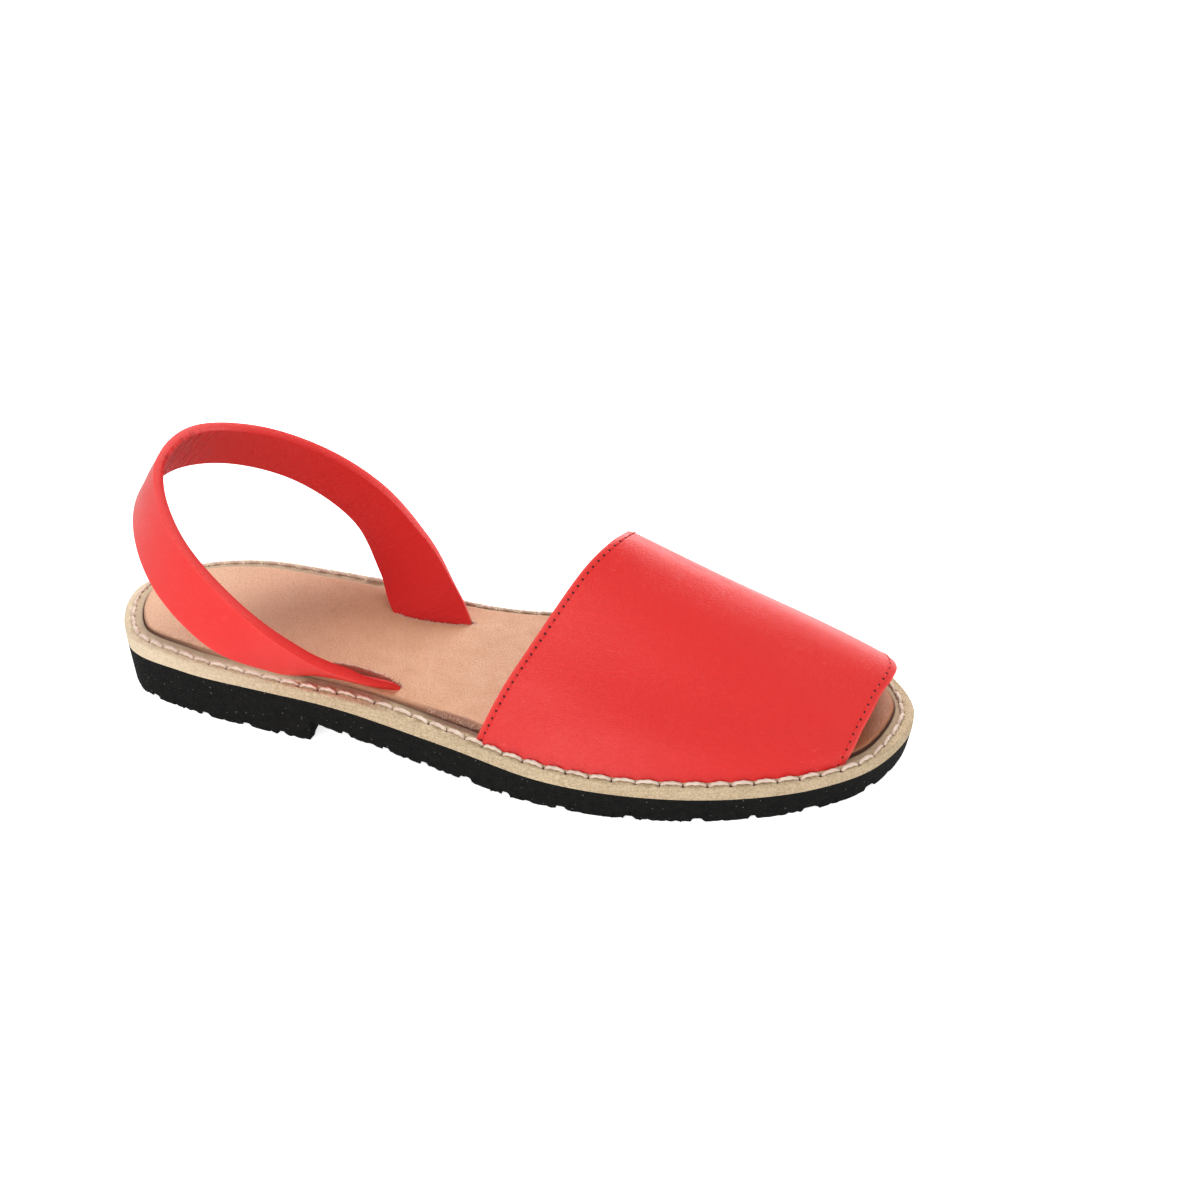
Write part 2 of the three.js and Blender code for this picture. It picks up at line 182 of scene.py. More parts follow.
def closed_curve(points, count):
    """Centripetal curve through a closed row of points, as count points."""
    points = np.array(points, float)
    size = len(points)
    place = np.arange(count) * size / count
    i = place.astype(int)
    t = (place - i)[:, None]
    p0, p1, p2, p3 = (points[(i + k) % size] for k in (-1, 0, 1, 2))
    d0, d1, d2 = (np.sqrt(np.linalg.norm(b - a, axis=1))[:, None]
                  for a, b in ((p0, p1), (p1, p2), (p2, p3)))
    start = ((p1 - p0) / d0 - (p2 - p0) / (d0 + d1) + (p2 - p1) / d1) * d1
    end = ((p2 - p1) / d1 - (p3 - p1) / (d1 + d2) + (p3 - p2) / d2) * d1
    return (p1 + start * t + (3 * (p2 - p1) - 2 * start - end) * t ** 2
            + (2 * (p1 - p2) + start + end) * t ** 3)


def outer_point(row):
    return (forward(row["at"]), -row["lateral"] * row["width"])


def inner_point(row):
    return (forward(row["at"]), row["medial"] * row["width"])


outline = closed_curve(
    [inner_point(HEEL_TIP)] + [outer_point(row) for row in OUTLINE]
    + [inner_point(TOE_TIP)] + [inner_point(row) for row in reversed(OUTLINE)],
    OUTLINE_POINTS)
ahead = np.roll(outline, -1, axis=0) - np.roll(outline, 1, axis=0)
ahead /= np.linalg.norm(ahead, axis=1)[:, None]
inward = np.stack([-ahead[:, 1], ahead[:, 0]], axis=1)
heel_end = int(np.argmin(outline[:, 0]))
toe_end = int(np.argmax(outline[:, 0]))
outer_run = np.arange(heel_end, toe_end + 1) % OUTLINE_POINTS
inner_run = np.arange(heel_end + OUTLINE_POINTS, toe_end - 1, -1) % OUTLINE_POINTS
round_length = float(np.linalg.norm(np.diff(outline, axis=0), axis=1).sum())
print("outline:", round(round_length, 4), "m round")

# %% Edge of the sole at any place
def edge_point(run, x, inset):
    """Point of one side at the sole's place x, moved inwards by inset."""
    side = outline[run]
    spot = np.interp(x, np.maximum.accumulate(side[:, 0]), np.arange(len(run)))
    pick = lambda table: np.stack([np.interp(spot, np.arange(len(run)), table[run][:, k])
                                   for k in (0, 1)], axis=-1)
    return pick(outline) + pick(inward) * np.asarray(inset)[..., None]


def stations(count):
    """Places from heel to toe, close together at the two tips, where the outline turns."""
    t = np.linspace(0, 1, count + 1)
    speed = np.minimum(np.minimum(t, 1 - t) / 0.2, 1)
    walked = np.concatenate([[0], np.cumsum((speed[1:] + speed[:-1]) / 2)])
    low, high = outline[heel_end, 0], outline[toe_end, 0]
    return low + (high - low) * walked / walked[-1]


print("widest:", round(float(edge_point(inner_run, forward(0.76), 0)[1]
                             - edge_point(outer_run, forward(0.76), 0)[1]), 4), "m")

# %% [markdown]
# Most pieces start as a flat grid that is laid on a shape, the way a cut piece of leather
# is laid on a last. Modelling with the cursor would mean pulling each point. Here the grid
# primitive is added once for each piece, and its points are moved onto the curves. Sides
# that meet are merged, and normals are turned outwards.

# %% Grid helper
def lay_grid(name, columns, rows, place, closed=False):
    """A grid primitive whose points go to place(u, v), with u and v from 0 to 1."""
    bpy.ops.object.select_all(action="DESELECT")
    bpy.ops.mesh.primitive_grid_add(x_subdivisions=columns, y_subdivisions=rows, size=1)
    piece = bpy.context.object
    piece.name = piece.data.name = name
    flat = np.empty(len(piece.data.vertices) * 3)
    piece.data.vertices.foreach_get("co", flat)
    u, v = np.clip(flat.reshape(-1, 3)[:, :2].T + 0.5, 0, 1)
    piece.data.vertices.foreach_set("co", place(u, v).ravel())
    piece.data.update()
    if closed:
        tidy_mesh(piece)
    return piece


def tidy_mesh(piece):
    """Merges points that meet, closes what holes are left and turns the faces outwards."""
    bpy.ops.object.mode_set(mode="EDIT")
    bpy.ops.mesh.select_all(action="SELECT")
    bpy.ops.mesh.remove_doubles(threshold=2e-6)
    bpy.ops.mesh.fill_holes(sides=0)
    bpy.ops.mesh.normals_make_consistent(inside=False)
    bpy.ops.object.mode_set(mode="OBJECT")


def turn_outwards(piece, inside):
    """Turns an open sheet's faces over if they look towards a point inside it."""
    looks = sum(face.area * face.normal.dot(face.center - Vector(inside))
                for face in piece.data.polygons)
    if looks < 0:
        piece.data.flip_normals()


def finish_piece(piece, angle=35):
    """Smooth shading, and the piece rides on the shoe's one body."""
    bpy.ops.object.select_all(action="DESELECT")
    piece.select_set(True)
    bpy.context.view_layer.objects.active = piece
    bpy.ops.object.shade_smooth_by_angle(angle=math.radians(angle))
    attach(piece, "root")
    print(piece.name, len(piece.data.polygons), "faces")


def apply_modifier(piece, kind, **values):
    bpy.context.view_layer.objects.active = piece
    modifier = piece.modifiers.new(kind.title(), kind)
    for key, value in values.items():
        setattr(modifier, key, value)
    bpy.ops.object.modifier_apply(modifier=modifier.name)


def write_attribute(piece, name, values):
    piece.data.attributes.new(name, "FLOAT", "POINT").data.foreach_set(
        "value", np.asarray(values, np.float32))


def points_of(piece):
    flat = np.empty(len(piece.data.vertices) * 3)
    piece.data.vertices.foreach_get("co", flat)
    return flat.reshape(-1, 3)


# %% [markdown]
# The three layers of the sole share one outline, so they share one way of building. A
# layer is a sleeve: its section runs over the top from the outer edge to the inner edge
# and back underneath. The section is carried from the heel tip to the toe tip, and at both
# tips the sleeve folds shut. Rows near the edge follow the outline at fixed distances,
# which keeps rims and bevels even all round.

# %% Layer helper
def layer_rows(top_insets, bottom_insets, middle):
    """Section of a layer: (side from -1 outer to 1 inner, inset, upper or lower face)."""
    rows = []
    for upper, insets in ((True, top_insets), (False, bottom_insets)):
        half = [(-1, inset, upper) for inset in insets]
        half += [(-1 + 2 * k / middle, insets[-1], upper) for k in range(1, middle)]
        half += [(1, inset, upper) for inset in reversed(insets)]
        rows += half if upper else half[::-1]
    return rows + rows[:1]


RIM_NARROW = table("at outer", [
    (0, 0),
    (0.82, 0),
    (0.9, 0.2),
    (0.96, 0.28),
    (1, 0),
])


def sole_layer(name, columns, rows, height):
    """A closed layer. height(x, y, inset, upper) gives the height of each of its points.
    Insets are smaller at the outer side of the toe, where the rim is narrow."""
    place_x = stations(columns)
    side, inset, upper = (np.array(column) for column in zip(*rows))

    def place(u, v):
        column = np.rint(u * columns).astype(int)
        row = np.rint(v * (len(rows) - 1)).astype(int)
        x, depth = place_x[column], inset[row]
        outer = edge_point(outer_run, x, depth * (1 - along(RIM_NARROW, share(x), "outer")))
        inner = edge_point(inner_run, x, depth)
        flat = outer + (inner - outer) * ((side[row] + 1) / 2)[:, None]
        z = height(flat[:, 0], flat[:, 1], depth, upper[row])
        return np.column_stack([flat, z])

    return lay_grid(name, columns, len(rows) - 1, place, closed=True)


# %% Distances for the finishes
def nearest(points, targets):
    """Distance from each point to the nearest of a few targets."""
    far = np.full(len(points), 1.0)
    for target in targets:
        far = np.minimum(far, np.linalg.norm(points - target, axis=1))
    return far


# How strong the insole's burnish and the painted shade in the gap between insole and rim are,
# along each side.
EDGE_BURNISH_AND_GAP_SHADE = table("at outer inner", [
    (0, 0.9, 0.9),
    (0.1, 0.75, 0.75),
    (0.2, 0.3, 0.5),
    (0.35, 0.35, 0.5),
    (0.42, 0.5, 0.5),
    (0.47, 0.6, 0.5),
    (0.52, 1, 0.8),
    (0.95, 1, 1),
    (1, 1, 1),
])


def write_inset(piece):
    """Each point's inset in millimetres, how strong the burnish and the painted shade in the gap
    between insole and rim are there, and where the cut edge of the insole shows raw."""
    x, y = points_of(piece)[:, :2].T
    to_outer = y - edge_point(outer_run, x, 0)[:, 1]
    to_inner = edge_point(inner_run, x, 0)[:, 1] - y
    inset, edge_x = np.full(len(x), 1.0), x
    for corner in outline[::10]:
        away = np.hypot(x - corner[0], y - corner[1])
        edge_x = np.where(away < inset, corner[0], edge_x)
        inset = np.minimum(away, inset)
    narrow = np.where(to_outer < to_inner, along(RIM_NARROW, share(edge_x), "outer"), 0)
    write_attribute(piece, "inset_mm", 1000 * inset / (1 - narrow))
    write_attribute(piece, "burnish_and_gap_shade", np.where(to_outer < to_inner, along(EDGE_BURNISH_AND_GAP_SHADE, share(x), "outer"),
                                            along(EDGE_BURNISH_AND_GAP_SHADE, share(x), "inner")))
    write_attribute(piece, "raw_edge", (to_outer < to_inner)
                    * np.exp(-((share(x) - 0.487) / 0.045) ** 2))


# %% [markdown]
# The outsole is black crumb rubber, heel and forefoot in one piece. It could be cut from a
# block with booleans, as the solid is. On the real sole the cross grooves end in soft
# scallops at the edge, sharp on one side and sloping on the other, so here the underside's
# height is a wave along the foot.

# %% Outsole
def scallop(x):
    """Depth of the tread's grooves along the foot."""
    depth = np.zeros_like(x)
    for groove in GROOVES:
        near = (x - forward(groove["at"])) / (groove["breadth"] * SOLE_LENGTH * 0.3)
        sharp = np.clip((near + 1.15) / 0.35, 0, 1)
        slope = np.clip((1.25 - near) / 0.9, 0, 1)
        dip = sharp ** 2 * (3 - 2 * sharp) * slope ** 2 * (3 - 2 * slope)
        depth = np.maximum(depth, TREAD_DEPTH * dip)
    return depth


BREAST_HOLLOW = 0.0025


def rubber_underside(x, y):
    """Height of the underside. The heel's front face is a little hollow."""
    lift = np.maximum(along(UNDERSIDE, share(x), "lift"), 0)
    spring = np.maximum(along(UNDERSIDE, share(x), "spring"), 0)
    hollow = BREAST_HOLLOW * np.clip(1 - (2 * y / HEEL_WIDTH) ** 2, 0, 1)
    in_front = np.clip(((share(x) - HEEL_BREAST) * SOLE_LENGTH + hollow) / 0.0006, 0, 1)
    return (HEEL_LIFT * lift + TOE_SPRING * spring) * in_front


CRUMB_SIZE = 0.0013
TORN_DEPTH = 0.0007
LOWER_STEP = 0.0016
wear_chance = np.random.default_rng(5)
crumb_edge = wear_chance.uniform(0, 1, (2, int(SOLE_LENGTH / CRUMB_SIZE) + 2))


def torn(x, y):
    """Uneven lift of the cut lower edge, where crumbs have broken out."""
    place = (x + SOLE_LENGTH / 2) / CRUMB_SIZE
    sides = [np.interp(place, np.arange(crumb_edge.shape[1]), crumb_edge[k]) for k in (0, 1)]
    return TORN_DEPTH * np.where(y < 0, *sides) ** 3


def outsole_height(x, y, inset, upper):
    """Underside with its grooves, a bevelled lower edge and what is torn from it."""
    under = rubber_underside(x, y) + scallop(x)
    at_edge = (inset > UNDERCUT * 0.9) & (inset < UNDERCUT * 2)
    under += np.where(inset < UNDERCUT * 0.9, LOWER_STEP, 0) + np.where(at_edge, torn(x, y), 0)
    return np.where(upper, rubber_top(x), under)


rubber_rows = layer_rows([0, 0.004], [UNDERCUT * 0.7, UNDERCUT, UNDERCUT * 1.5, 0.004], 8)
outsole = sole_layer("rubber_sole", 900, rubber_rows, outsole_height)
finish_piece(outsole, 30)
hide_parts("outsole")

# %% [markdown]
# The rim's thread lies in long stitches on the midsole's rim, and each stitch dips into a
# hole that it shares with the next one. The row doesn't keep one distance from the edge:
# it moves inwards round the toe and the heel. So the row is worked out first, from the
# outline, a table of insets and the stitch length, and the leather is then pressed in
# under it.

# %% Row of the rim's stitches
STITCH_PITCH = table("at outer inner", [
    (0, 0.0058, 0.0058),
    (0.2, 0.0062, 0.0065),
    (0.45, 0.0061, 0.0065),
    (0.6, 0.0066, 0.0066),
    (0.9, 0.0067, 0.0067),
    (1, 0.0058, 0.0058),
])
STITCH_INSET = table("at outer inner", [
    (0, 0.0031, 0.0031),
    (0.12, 0.0024, 0.0028),
    (0.22, 0.0019, 0.0028),
    (0.31, 0.0019, 0.0028),
    (0.36, 0.0028, 0.0028),
    (0.42, 0.0031, 0.0027),
    (0.55, 0.0018, 0.002),
    (0.88, 0.0016, 0.002),
    (0.95, 0.0014, 0.003),
    (1, 0.0036, 0.0041),
])

inner_side = np.zeros(OUTLINE_POINTS, bool)
inner_side[inner_run] = True


def round_row(table):
    """A table's value at each point of the outline, by place and side."""
    return np.where(inner_side, along(table, share(outline[:, 0]), "inner"),
                    along(table, share(outline[:, 0]), "outer"))


row_inset = round_row(STITCH_INSET)
row_line = outline + inward * row_inset[:, None]
row_steps = np.linalg.norm(np.roll(row_line, -1, axis=0) - row_line, axis=1)
row_walk = np.concatenate([[0], np.cumsum(row_steps)])
row_count = np.concatenate([[0], np.cumsum(row_steps / round_row(STITCH_PITCH))])
stitch_count = round(row_count[-1])


def row_point(walked):
    """Point of the stitch row after a length walked from the heel tip."""
    walked = np.asarray(walked) % row_walk[-1]
    line = np.vstack([row_line, row_line[:1]])
    return np.stack([np.interp(walked, row_walk, line[:, k]) for k in (0, 1)], axis=-1)


hole_walk = np.interp(np.linspace(0, row_count[-1], stitch_count + 1), row_count, row_walk)
hole_points = row_point(hole_walk[:-1])
print("rim stitches:", stitch_count)

# %% [markdown]
# The midsole is thick undyed leather. Its rim carries the stitches, its edge is cut
# square with a softened upper corner. Holes could be a bump map, but light catches their
# walls from low down, so the rows of the mesh are close enough there to press them in.

# %% Midsole
RIM_RAISE = 0.0015
RIM_LIFT = table("at outer inner", [
    (0, 0.75, 0.9),
    (0.06, 0.7, 1),
    (0.15, 0.4, 1),
    (0.3, 0, 1),
    (0.37, 0.3, 0.5),
    (0.48, 0, 0),
    (0.84, 0, 0),
    (0.93, -0.35, 0),
    (1, -0.2, 0),
])


def rim_lift(x, y):
    """From the heel to the waist the rim is drawn up round the insole, except where the
    strap presses on it. At the outer side of the toe it lies a little lower."""
    inner = np.clip(0.5 + y / 0.03, 0, 1)
    outer_lift, inner_lift = (along(RIM_LIFT, share(x), side) for side in ("outer", "inner"))
    return RIM_RAISE * (outer_lift + (inner_lift - outer_lift) * inner)


def midsole_height(x, y, inset, upper):
    """The rim has a soft corner, a channel under its thread, and a dip with a puckered
    edge at each hole."""
    flat = np.column_stack([x, y])
    rim = upper & (inset < 0.0075)
    hole = np.ones(len(x))
    row = np.ones(len(x))
    hole[rim] = nearest(flat[rim], hole_points)
    row[rim] = nearest(flat[rim], row_line[::12])
    corner = 0.0005 * np.clip(1 - inset / 0.0006, 0, 1) ** 2
    channel = 0.00022 * np.exp(-(row / 0.0008) ** 2)
    dip = 0.0009 * np.exp(-(hole / 0.00065) ** 2)
    pucker = 0.00012 * np.exp(-((hole - 0.0014) / 0.0006) ** 2)
    slope = 0.00035 * np.clip(1 - inset / 0.0025, 0, 1)
    top = midsole_top(x) - corner - channel - dip + pucker - slope
    top += rim_lift(x, y) * (inset < RIM_WIDTH)
    return np.where(upper, top, rubber_top(x) + GLUE_GAP * (1 - np.clip(1 - inset / 0.001, 0, 1)))


rim_insets = [0, 0.00008, 0.0002, 0.0004, 0.0006]
rim_insets += list(np.arange(0.0009, 0.0056, 0.0003)) + [0.006, 0.0068, 0.0078]
midsole = sole_layer("raw_leather_midsole", 640, layer_rows(rim_insets, [0, 0.001, 0.006], 5),
                     midsole_height)
write_inset(midsole)
to_hole = nearest(points_of(midsole)[:, :2], hole_points)
# Nearness to each stitch hole, where shade is painted.
write_attribute(midsole, "hole", np.exp(-(to_hole / 0.0007) ** 2))
finish_piece(midsole, 40)
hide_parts("midsole")

# %% [markdown]
# One stitch of the rim is a short piece of two-ply waxed thread, bowed between its two
# holes. A curve with a round bevel would do for a smooth cord. A sleeve with a section of
# two lobes that turns along the way also shows the plies. It is modelled once and copied
# to each place, each copy with its own mesh and a slightly different turn and size, and
# the copies are joined to one piece. On the inner side, in front of the heel, two more
# stitches lie over the row, where the thread is locked.

# %% One stitch and its copies
def make_stitch(name, length, radius, bow, twist, around=8, steps=12):
    """A thread sleeve along X, its middle bowed up and its ends turned down."""
    def place(u, v):
        angle = 2 * np.pi * u
        turn = twist * v * 2 * np.pi
        end = np.abs(2 * v - 1)
        thick = radius * (1 + 0.2 * np.cos(2 * (angle - turn))) * (1 - 0.35 * end ** 6)
        return np.column_stack([
            (v - 0.5) * length,
            thick * np.cos(angle),
            thick * np.sin(angle) + bow * (0.45 - end ** 3)])
    return lay_grid(name, around, steps, place, closed=True)


def copy_along(stitch, name, places, spread=0.06, seed=3, stretch=False):
    """Copies of a piece at (point, forward, up) places, joined to one piece. With stretch
    the length of the forward direction is the copy's size along it."""
    chance = random.Random(seed)
    copies = []
    for point, ahead_dir, up in places:
        longer = Vector(ahead_dir).length if stretch else 1
        ahead_dir = Vector(ahead_dir).normalized()
        up = (Vector(up) - ahead_dir * Vector(up).dot(ahead_dir)).normalized()
        side = up.cross(ahead_dir)
        axes = Matrix((ahead_dir, side, up)).transposed().to_4x4()
        wobble = Matrix.Rotation(chance.uniform(-spread, spread), 4, "Z")
        size = Matrix.Diagonal((longer * chance.uniform(0.94, 1.05), chance.uniform(0.85, 1.2),
                                chance.uniform(0.9, 1.15), 1))
        copy = stitch.copy()
        copy.data = stitch.data.copy()
        bpy.context.scene.collection.objects.link(copy)
        copy.data.transform(Matrix.Translation(Vector(point)) @ axes @ wobble @ size)
        copies.append(copy)
    bpy.data.objects.remove(stitch)
    bpy.ops.object.select_all(action="DESELECT")
    for copy in copies:
        copy.select_set(True)
    bpy.context.view_layer.objects.active = copies[0]
    bpy.ops.object.join()
    joined = bpy.context.object
    joined.name = joined.data.name = name
    return joined


def rim_top(point):
    return float(midsole_top(point[0]) + rim_lift(*point))


RIM_STITCH = 0.006
stitch_places = []
for start, end in zip(hole_walk[:-1], hole_walk[1:]):
    flat = row_point((start + end) / 2)
    before, after = row_point(start), row_point(end)
    ahead_dir = np.array([*(after - before), rim_top(after) - rim_top(before)])
    stitch_places.append(((*flat, rim_top(flat) + 0.0001), ahead_dir * 0.93 / RIM_STITCH,
                          (0, 0, 1)))
LOCK_AT = 0.325
on_inner = [k for k, place in enumerate(stitch_places) if place[0][1] > 0]
lock = min(on_inner, key=lambda k: abs(stitch_places[k][0][0] - float(forward(LOCK_AT))))
for k, turn in ((lock, 0.16), (lock + 1, -0.12)):
    (x, y, z), (dx, dy, dz), up = stitch_places[k]
    stitch_places.append(((x, y - 0.0003, z + 0.0006), (dx, dy + turn, dz), up))
rim_stitch = make_stitch("rim_stitch", RIM_STITCH, 0.00052, 0.0008, 1.2)
rim_stitches = copy_along(rim_stitch, "rim_stitches", stitch_places, spread=0.09, stretch=True)
finish_piece(rim_stitches, 60)

# %% [markdown]
# Cutting crumb rubber leaves torn bits along the lower edge. Displacing the whole wall
# would need a very fine mesh, so a few dozen small lumps sit along the edge instead: one
# rough ball, copied at chance places and sizes.

# %% Torn crumbs
bpy.ops.object.select_all(action="DESELECT")
bpy.ops.mesh.primitive_ico_sphere_add(subdivisions=1, radius=0.00045)
crumb_ball = bpy.context.object
crumb_ball.data.transform(Matrix.Diagonal((1.3, 0.8, 0.7, 1)))
crumb_places = []
for k in range(120):
    run = outer_run if k % 2 else inner_run
    x = float(forward(wear_chance.uniform(0.004, 0.99)))
    depth = UNDERCUT * wear_chance.uniform(0.5, 1.3)
    flat = edge_point(run, np.array([x]), np.array([depth]))[0]
    low_edge = float(rubber_underside(np.array([x]), flat[1])[0] + scallop(np.array([x]))[0])
    height = low_edge + 0.0006 + LOWER_STEP * wear_chance.uniform() ** 3
    crumb_places.append(((*flat, height), wear_chance.normal(size=3), wear_chance.normal(size=3)))
crumbs = copy_along(crumb_ball, "rubber_crumbs", crumb_places, spread=1.5)
finish_piece(crumbs, 20)

# %% [markdown]
# The insole is smooth tan leather with a burnished edge. It has two lens-shaped slots
# where the strap goes through, and the strip outside the outer slot is pressed down by
# the strap. The slots could be gaps in the grid, but a punch is how they are made, so a
# punch-shaped body cuts them with a boolean.

# %% Insole
SLOTS = table("name forward side turn length width", [
    ("outer", 0.362, -0.403, -8, 0.0235, 0.0046),
    ("inner", 0.4, 0.175, 9, 0.025, 0.0048),
])


def soft_spot(x, y, centre, length, width, turn):
    """A soft bell of height 1 on the sole, longer along its own turned axis."""
    angle = math.radians(turn)
    dx, dy = x - centre[0], y - centre[1]
    a = (dx * math.cos(angle) + dy * math.sin(angle)) / length
    b = (dy * math.cos(angle) - dx * math.sin(angle)) / width
    return np.exp(-a * a - b * b)


INSOLE_HOLLOWS = table("depth centre length width turn", [
    (0.0004, (-0.085, 0), 0.03, 0.018, 0),
    (0.0003, (0.05, 0), 0.04, 0.03, 0),
    (0.0011, (-0.036, -0.0325), 0.024, 0.005, -4),
    (0.0004, (-0.026, 0.0165), 0.016, 0.004, 9),
])
TOE_DROP = 0.0011


def insole_height(x, y, inset, upper):
    """Under the heel, under the ball and beside both slots the insole is pressed in."""
    rim = np.clip(1 - (inset - RIM_WIDTH) / 0.0009, 0, 1)
    at_toe = np.clip((share(x) - 0.87) / 0.05, 0, 1)
    top = insole_top(x) - 0.0007 * rim ** 2 - TOE_DROP * at_toe
    for spot in INSOLE_HOLLOWS:
        top = top - spot["depth"] * soft_spot(
            x, y, spot["centre"], spot["length"], spot["width"], spot["turn"])
    return np.where(upper, top, midsole_top(x) + GLUE_GAP * 0.5)


insole_insets = [RIM_WIDTH + step / 10000 for step in (0, 1, 3, 6, 10, 18, 30, 50)]
insole = sole_layer("tan_insole", 300, layer_rows(insole_insets, [RIM_WIDTH, 0.009], 44),
                    insole_height)

for slot in SLOTS:
    bpy.ops.object.select_all(action="DESELECT")
    spot = (float(forward(slot["forward"])), slot["side"] * HEEL_WIDTH)
    bpy.ops.mesh.primitive_cylinder_add(
        vertices=64, radius=0.5, depth=0.02, location=(*spot, float(insole_top(spot[0]))),
        rotation=(0, 0, math.radians(slot["turn"])), scale=(slot["length"], slot["width"], 1))
    punch = bpy.context.object
    apply_modifier(insole, "BOOLEAN", object=punch, operation="DIFFERENCE", solver="EXACT")
    bpy.data.objects.remove(punch)
    print(slot["name"], "slot cut,", len(insole.data.polygons), "faces")

lips = []
round_it = np.linspace(0, 2 * np.pi, 90, endpoint=False)
for slot in SLOTS:
    turn = math.radians(slot["turn"])
    a, b = slot["length"] / 2 * np.cos(round_it), slot["width"] / 2 * np.sin(round_it)
    lips.append(np.column_stack([
        forward(slot["forward"]) + a * math.cos(turn) - b * math.sin(turn),
        slot["side"] * HEEL_WIDTH + a * math.sin(turn) + b * math.cos(turn)]))
write_inset(insole)
write_attribute(insole, "lip_mm", 1000 * nearest(points_of(insole)[:, :2], np.vstack(lips)))
finish_piece(insole, 40)
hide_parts("insole")

# %% [markdown]
# Raw leather frays where it is cut. A hair system would do, but it isn't kept by every
# format. A thin four-sided cone is copied along the slots' lips and along the cut edge next
# to the vamp, pointing a little over the gap.

# %% Frayed fibres
bpy.ops.object.select_all(action="DESELECT")
bpy.ops.mesh.primitive_cone_add(vertices=4, radius1=0.00012, radius2=0.00004, depth=0.0012,
                                rotation=(0, math.radians(90), 0))
fibre = bpy.context.object
bpy.ops.object.transform_apply(location=True, rotation=True, scale=True)
fibre_places = []
for lip, slot in zip(lips, SLOTS):
    middle = np.array([forward(slot["forward"]), slot["side"] * HEEL_WIDTH])
    for spot in np.repeat(lip, 3, axis=0):
        spot = spot + wear_chance.normal(size=2) * 0.0002
        over = (middle - spot) * 0.3 + wear_chance.normal(size=2) * 0.003
        top = float(insole_height(*spot[:, None], np.array([0.02]), np.array([True]))[0])
        fibre_places.append(((*spot, top - 0.0001), (*over, wear_chance.uniform(-0.002, 0.001)),
                             (0, 0, 1)))
for x in wear_chance.uniform(-0.014, 0.004, 110):
    spot = edge_point(outer_run, np.array([x]), np.array([RIM_WIDTH - 0.0001]))[0]
    top = float(insole_top(x)) - wear_chance.uniform(0.0004, 0.002)
    over = (wear_chance.normal() * 0.6, -1, wear_chance.normal() * 0.5)
    fibre_places.append(((*spot, top), over, (0, 0, 1)))
fibres = copy_along(fibre, "frayed_fibres", fibre_places, spread=0.8)
finish_piece(fibres, 20)

# %% [markdown]
# The vamp is one wide piece of red leather that is bent over the foot, from the outer rim
# to the inner rim. Its surface is ruled: straight lines from the back edge to the front
# edge, let out at the feet to follow the sole. The two edges are tables of points. A
# cloth simulation could drape it, but stiff leather keeps the form that the maker gave it.

# %% Sizes of the upper
VAMP_THICKNESS = 0.002
VAMP_RIM = 0.0025
INSTEP_HEIGHT = 0.0634
TOE_HEIGHT = 0.0296

VAMP = table("at back front", [
    (0.083, (0.535, -0.364, 0.442), (0.936, -0.191, 0.561)),
    (0.167, (0.559, -0.277, 0.617), (0.943, -0.146, 0.679)),
    (0.25, (0.584, -0.18, 0.781), (0.95, -0.093, 0.79)),
    (0.333, (0.609, -0.074, 0.922), (0.957, -0.036, 0.889)),
    (0.417, (0.63, 0.013, 0.994), (0.9665, 0.021, 0.955)),
    (0.5, (0.643, 0.098, 0.994), (0.9715, 0.079, 0.978)),
    (0.583, (0.64, 0.184, 0.924), (0.969, 0.133, 0.955)),
    (0.667, (0.628, 0.277, 0.811), (0.9635, 0.185, 0.889)),
    (0.75, (0.611, 0.362, 0.67), (0.957, 0.233, 0.774)),
    (0.833, (0.591, 0.413, 0.509), (0.9505, 0.277, 0.659)),
    (0.917, (0.568, 0.411, 0.356), (0.9435, 0.318, 0.551)),
])
VAMP_FEET = {
    "outer": {"run": outer_run, "back": 0.515, "front": 0.928},
    "inner": {"run": inner_run, "back": 0.544, "front": 0.937},
}

# %% Surface of the vamp
foot_lines = {}
for name, foot in VAMP_FEET.items():
    foot_lines[name] = (outline + inward * VAMP_RIM)[foot["run"]]


def vamp_foot(name, u):
    """Place on the rim where the vamp goes under, from its back edge to its front edge."""
    foot = VAMP_FEET[name]
    x = forward(foot["back"] + (foot["front"] - foot["back"]) * u)
    line = foot_lines[name]
    y = np.interp(x, np.maximum.accumulate(line[:, 0]), line[:, 1])
    return np.stack([x, y, midsole_top(x)], axis=-1)


def vamp_edge(edge, height, v):
    """Point of the back or front edge, from the outer foot to the inner foot."""
    u = 0.0 if edge == "back" else 1.0
    size = np.array([1, BALL_WIDTH, height])
    rows = [{"at": 0, "point": vamp_foot("outer", u)}]
    for row in VAMP:
        point = np.array(row[edge]) * size
        point[0] = forward(row[edge][0])
        rows.append({"at": row["at"], "point": point})
    rows.append({"at": 1, "point": vamp_foot("inner", u)})
    columns = [[{"at": row["at"], "c": row["point"][k]} for row in rows] for k in range(3)]
    return np.stack([along(column, v, "c") for column in columns], axis=-1)


def vamp_point(u, v):
    u, v = np.broadcast_arrays(np.asarray(u, float), np.asarray(v, float))
    back = vamp_edge("back", INSTEP_HEIGHT, v)
    front = vamp_edge("front", TOE_HEIGHT, v)
    point = back + (front - back) * u[..., None]
    near = np.cos(np.pi * np.minimum(v, 1 - v)) ** 2
    for name, here in (("outer", v < 0.5), ("inner", v >= 0.5)):
        start, end = vamp_foot(name, 0.0), vamp_foot(name, 1.0)
        let_out = vamp_foot(name, u) - (start + (end - start) * u[..., None])
        point = point + let_out * (near * here)[..., None]
    return point


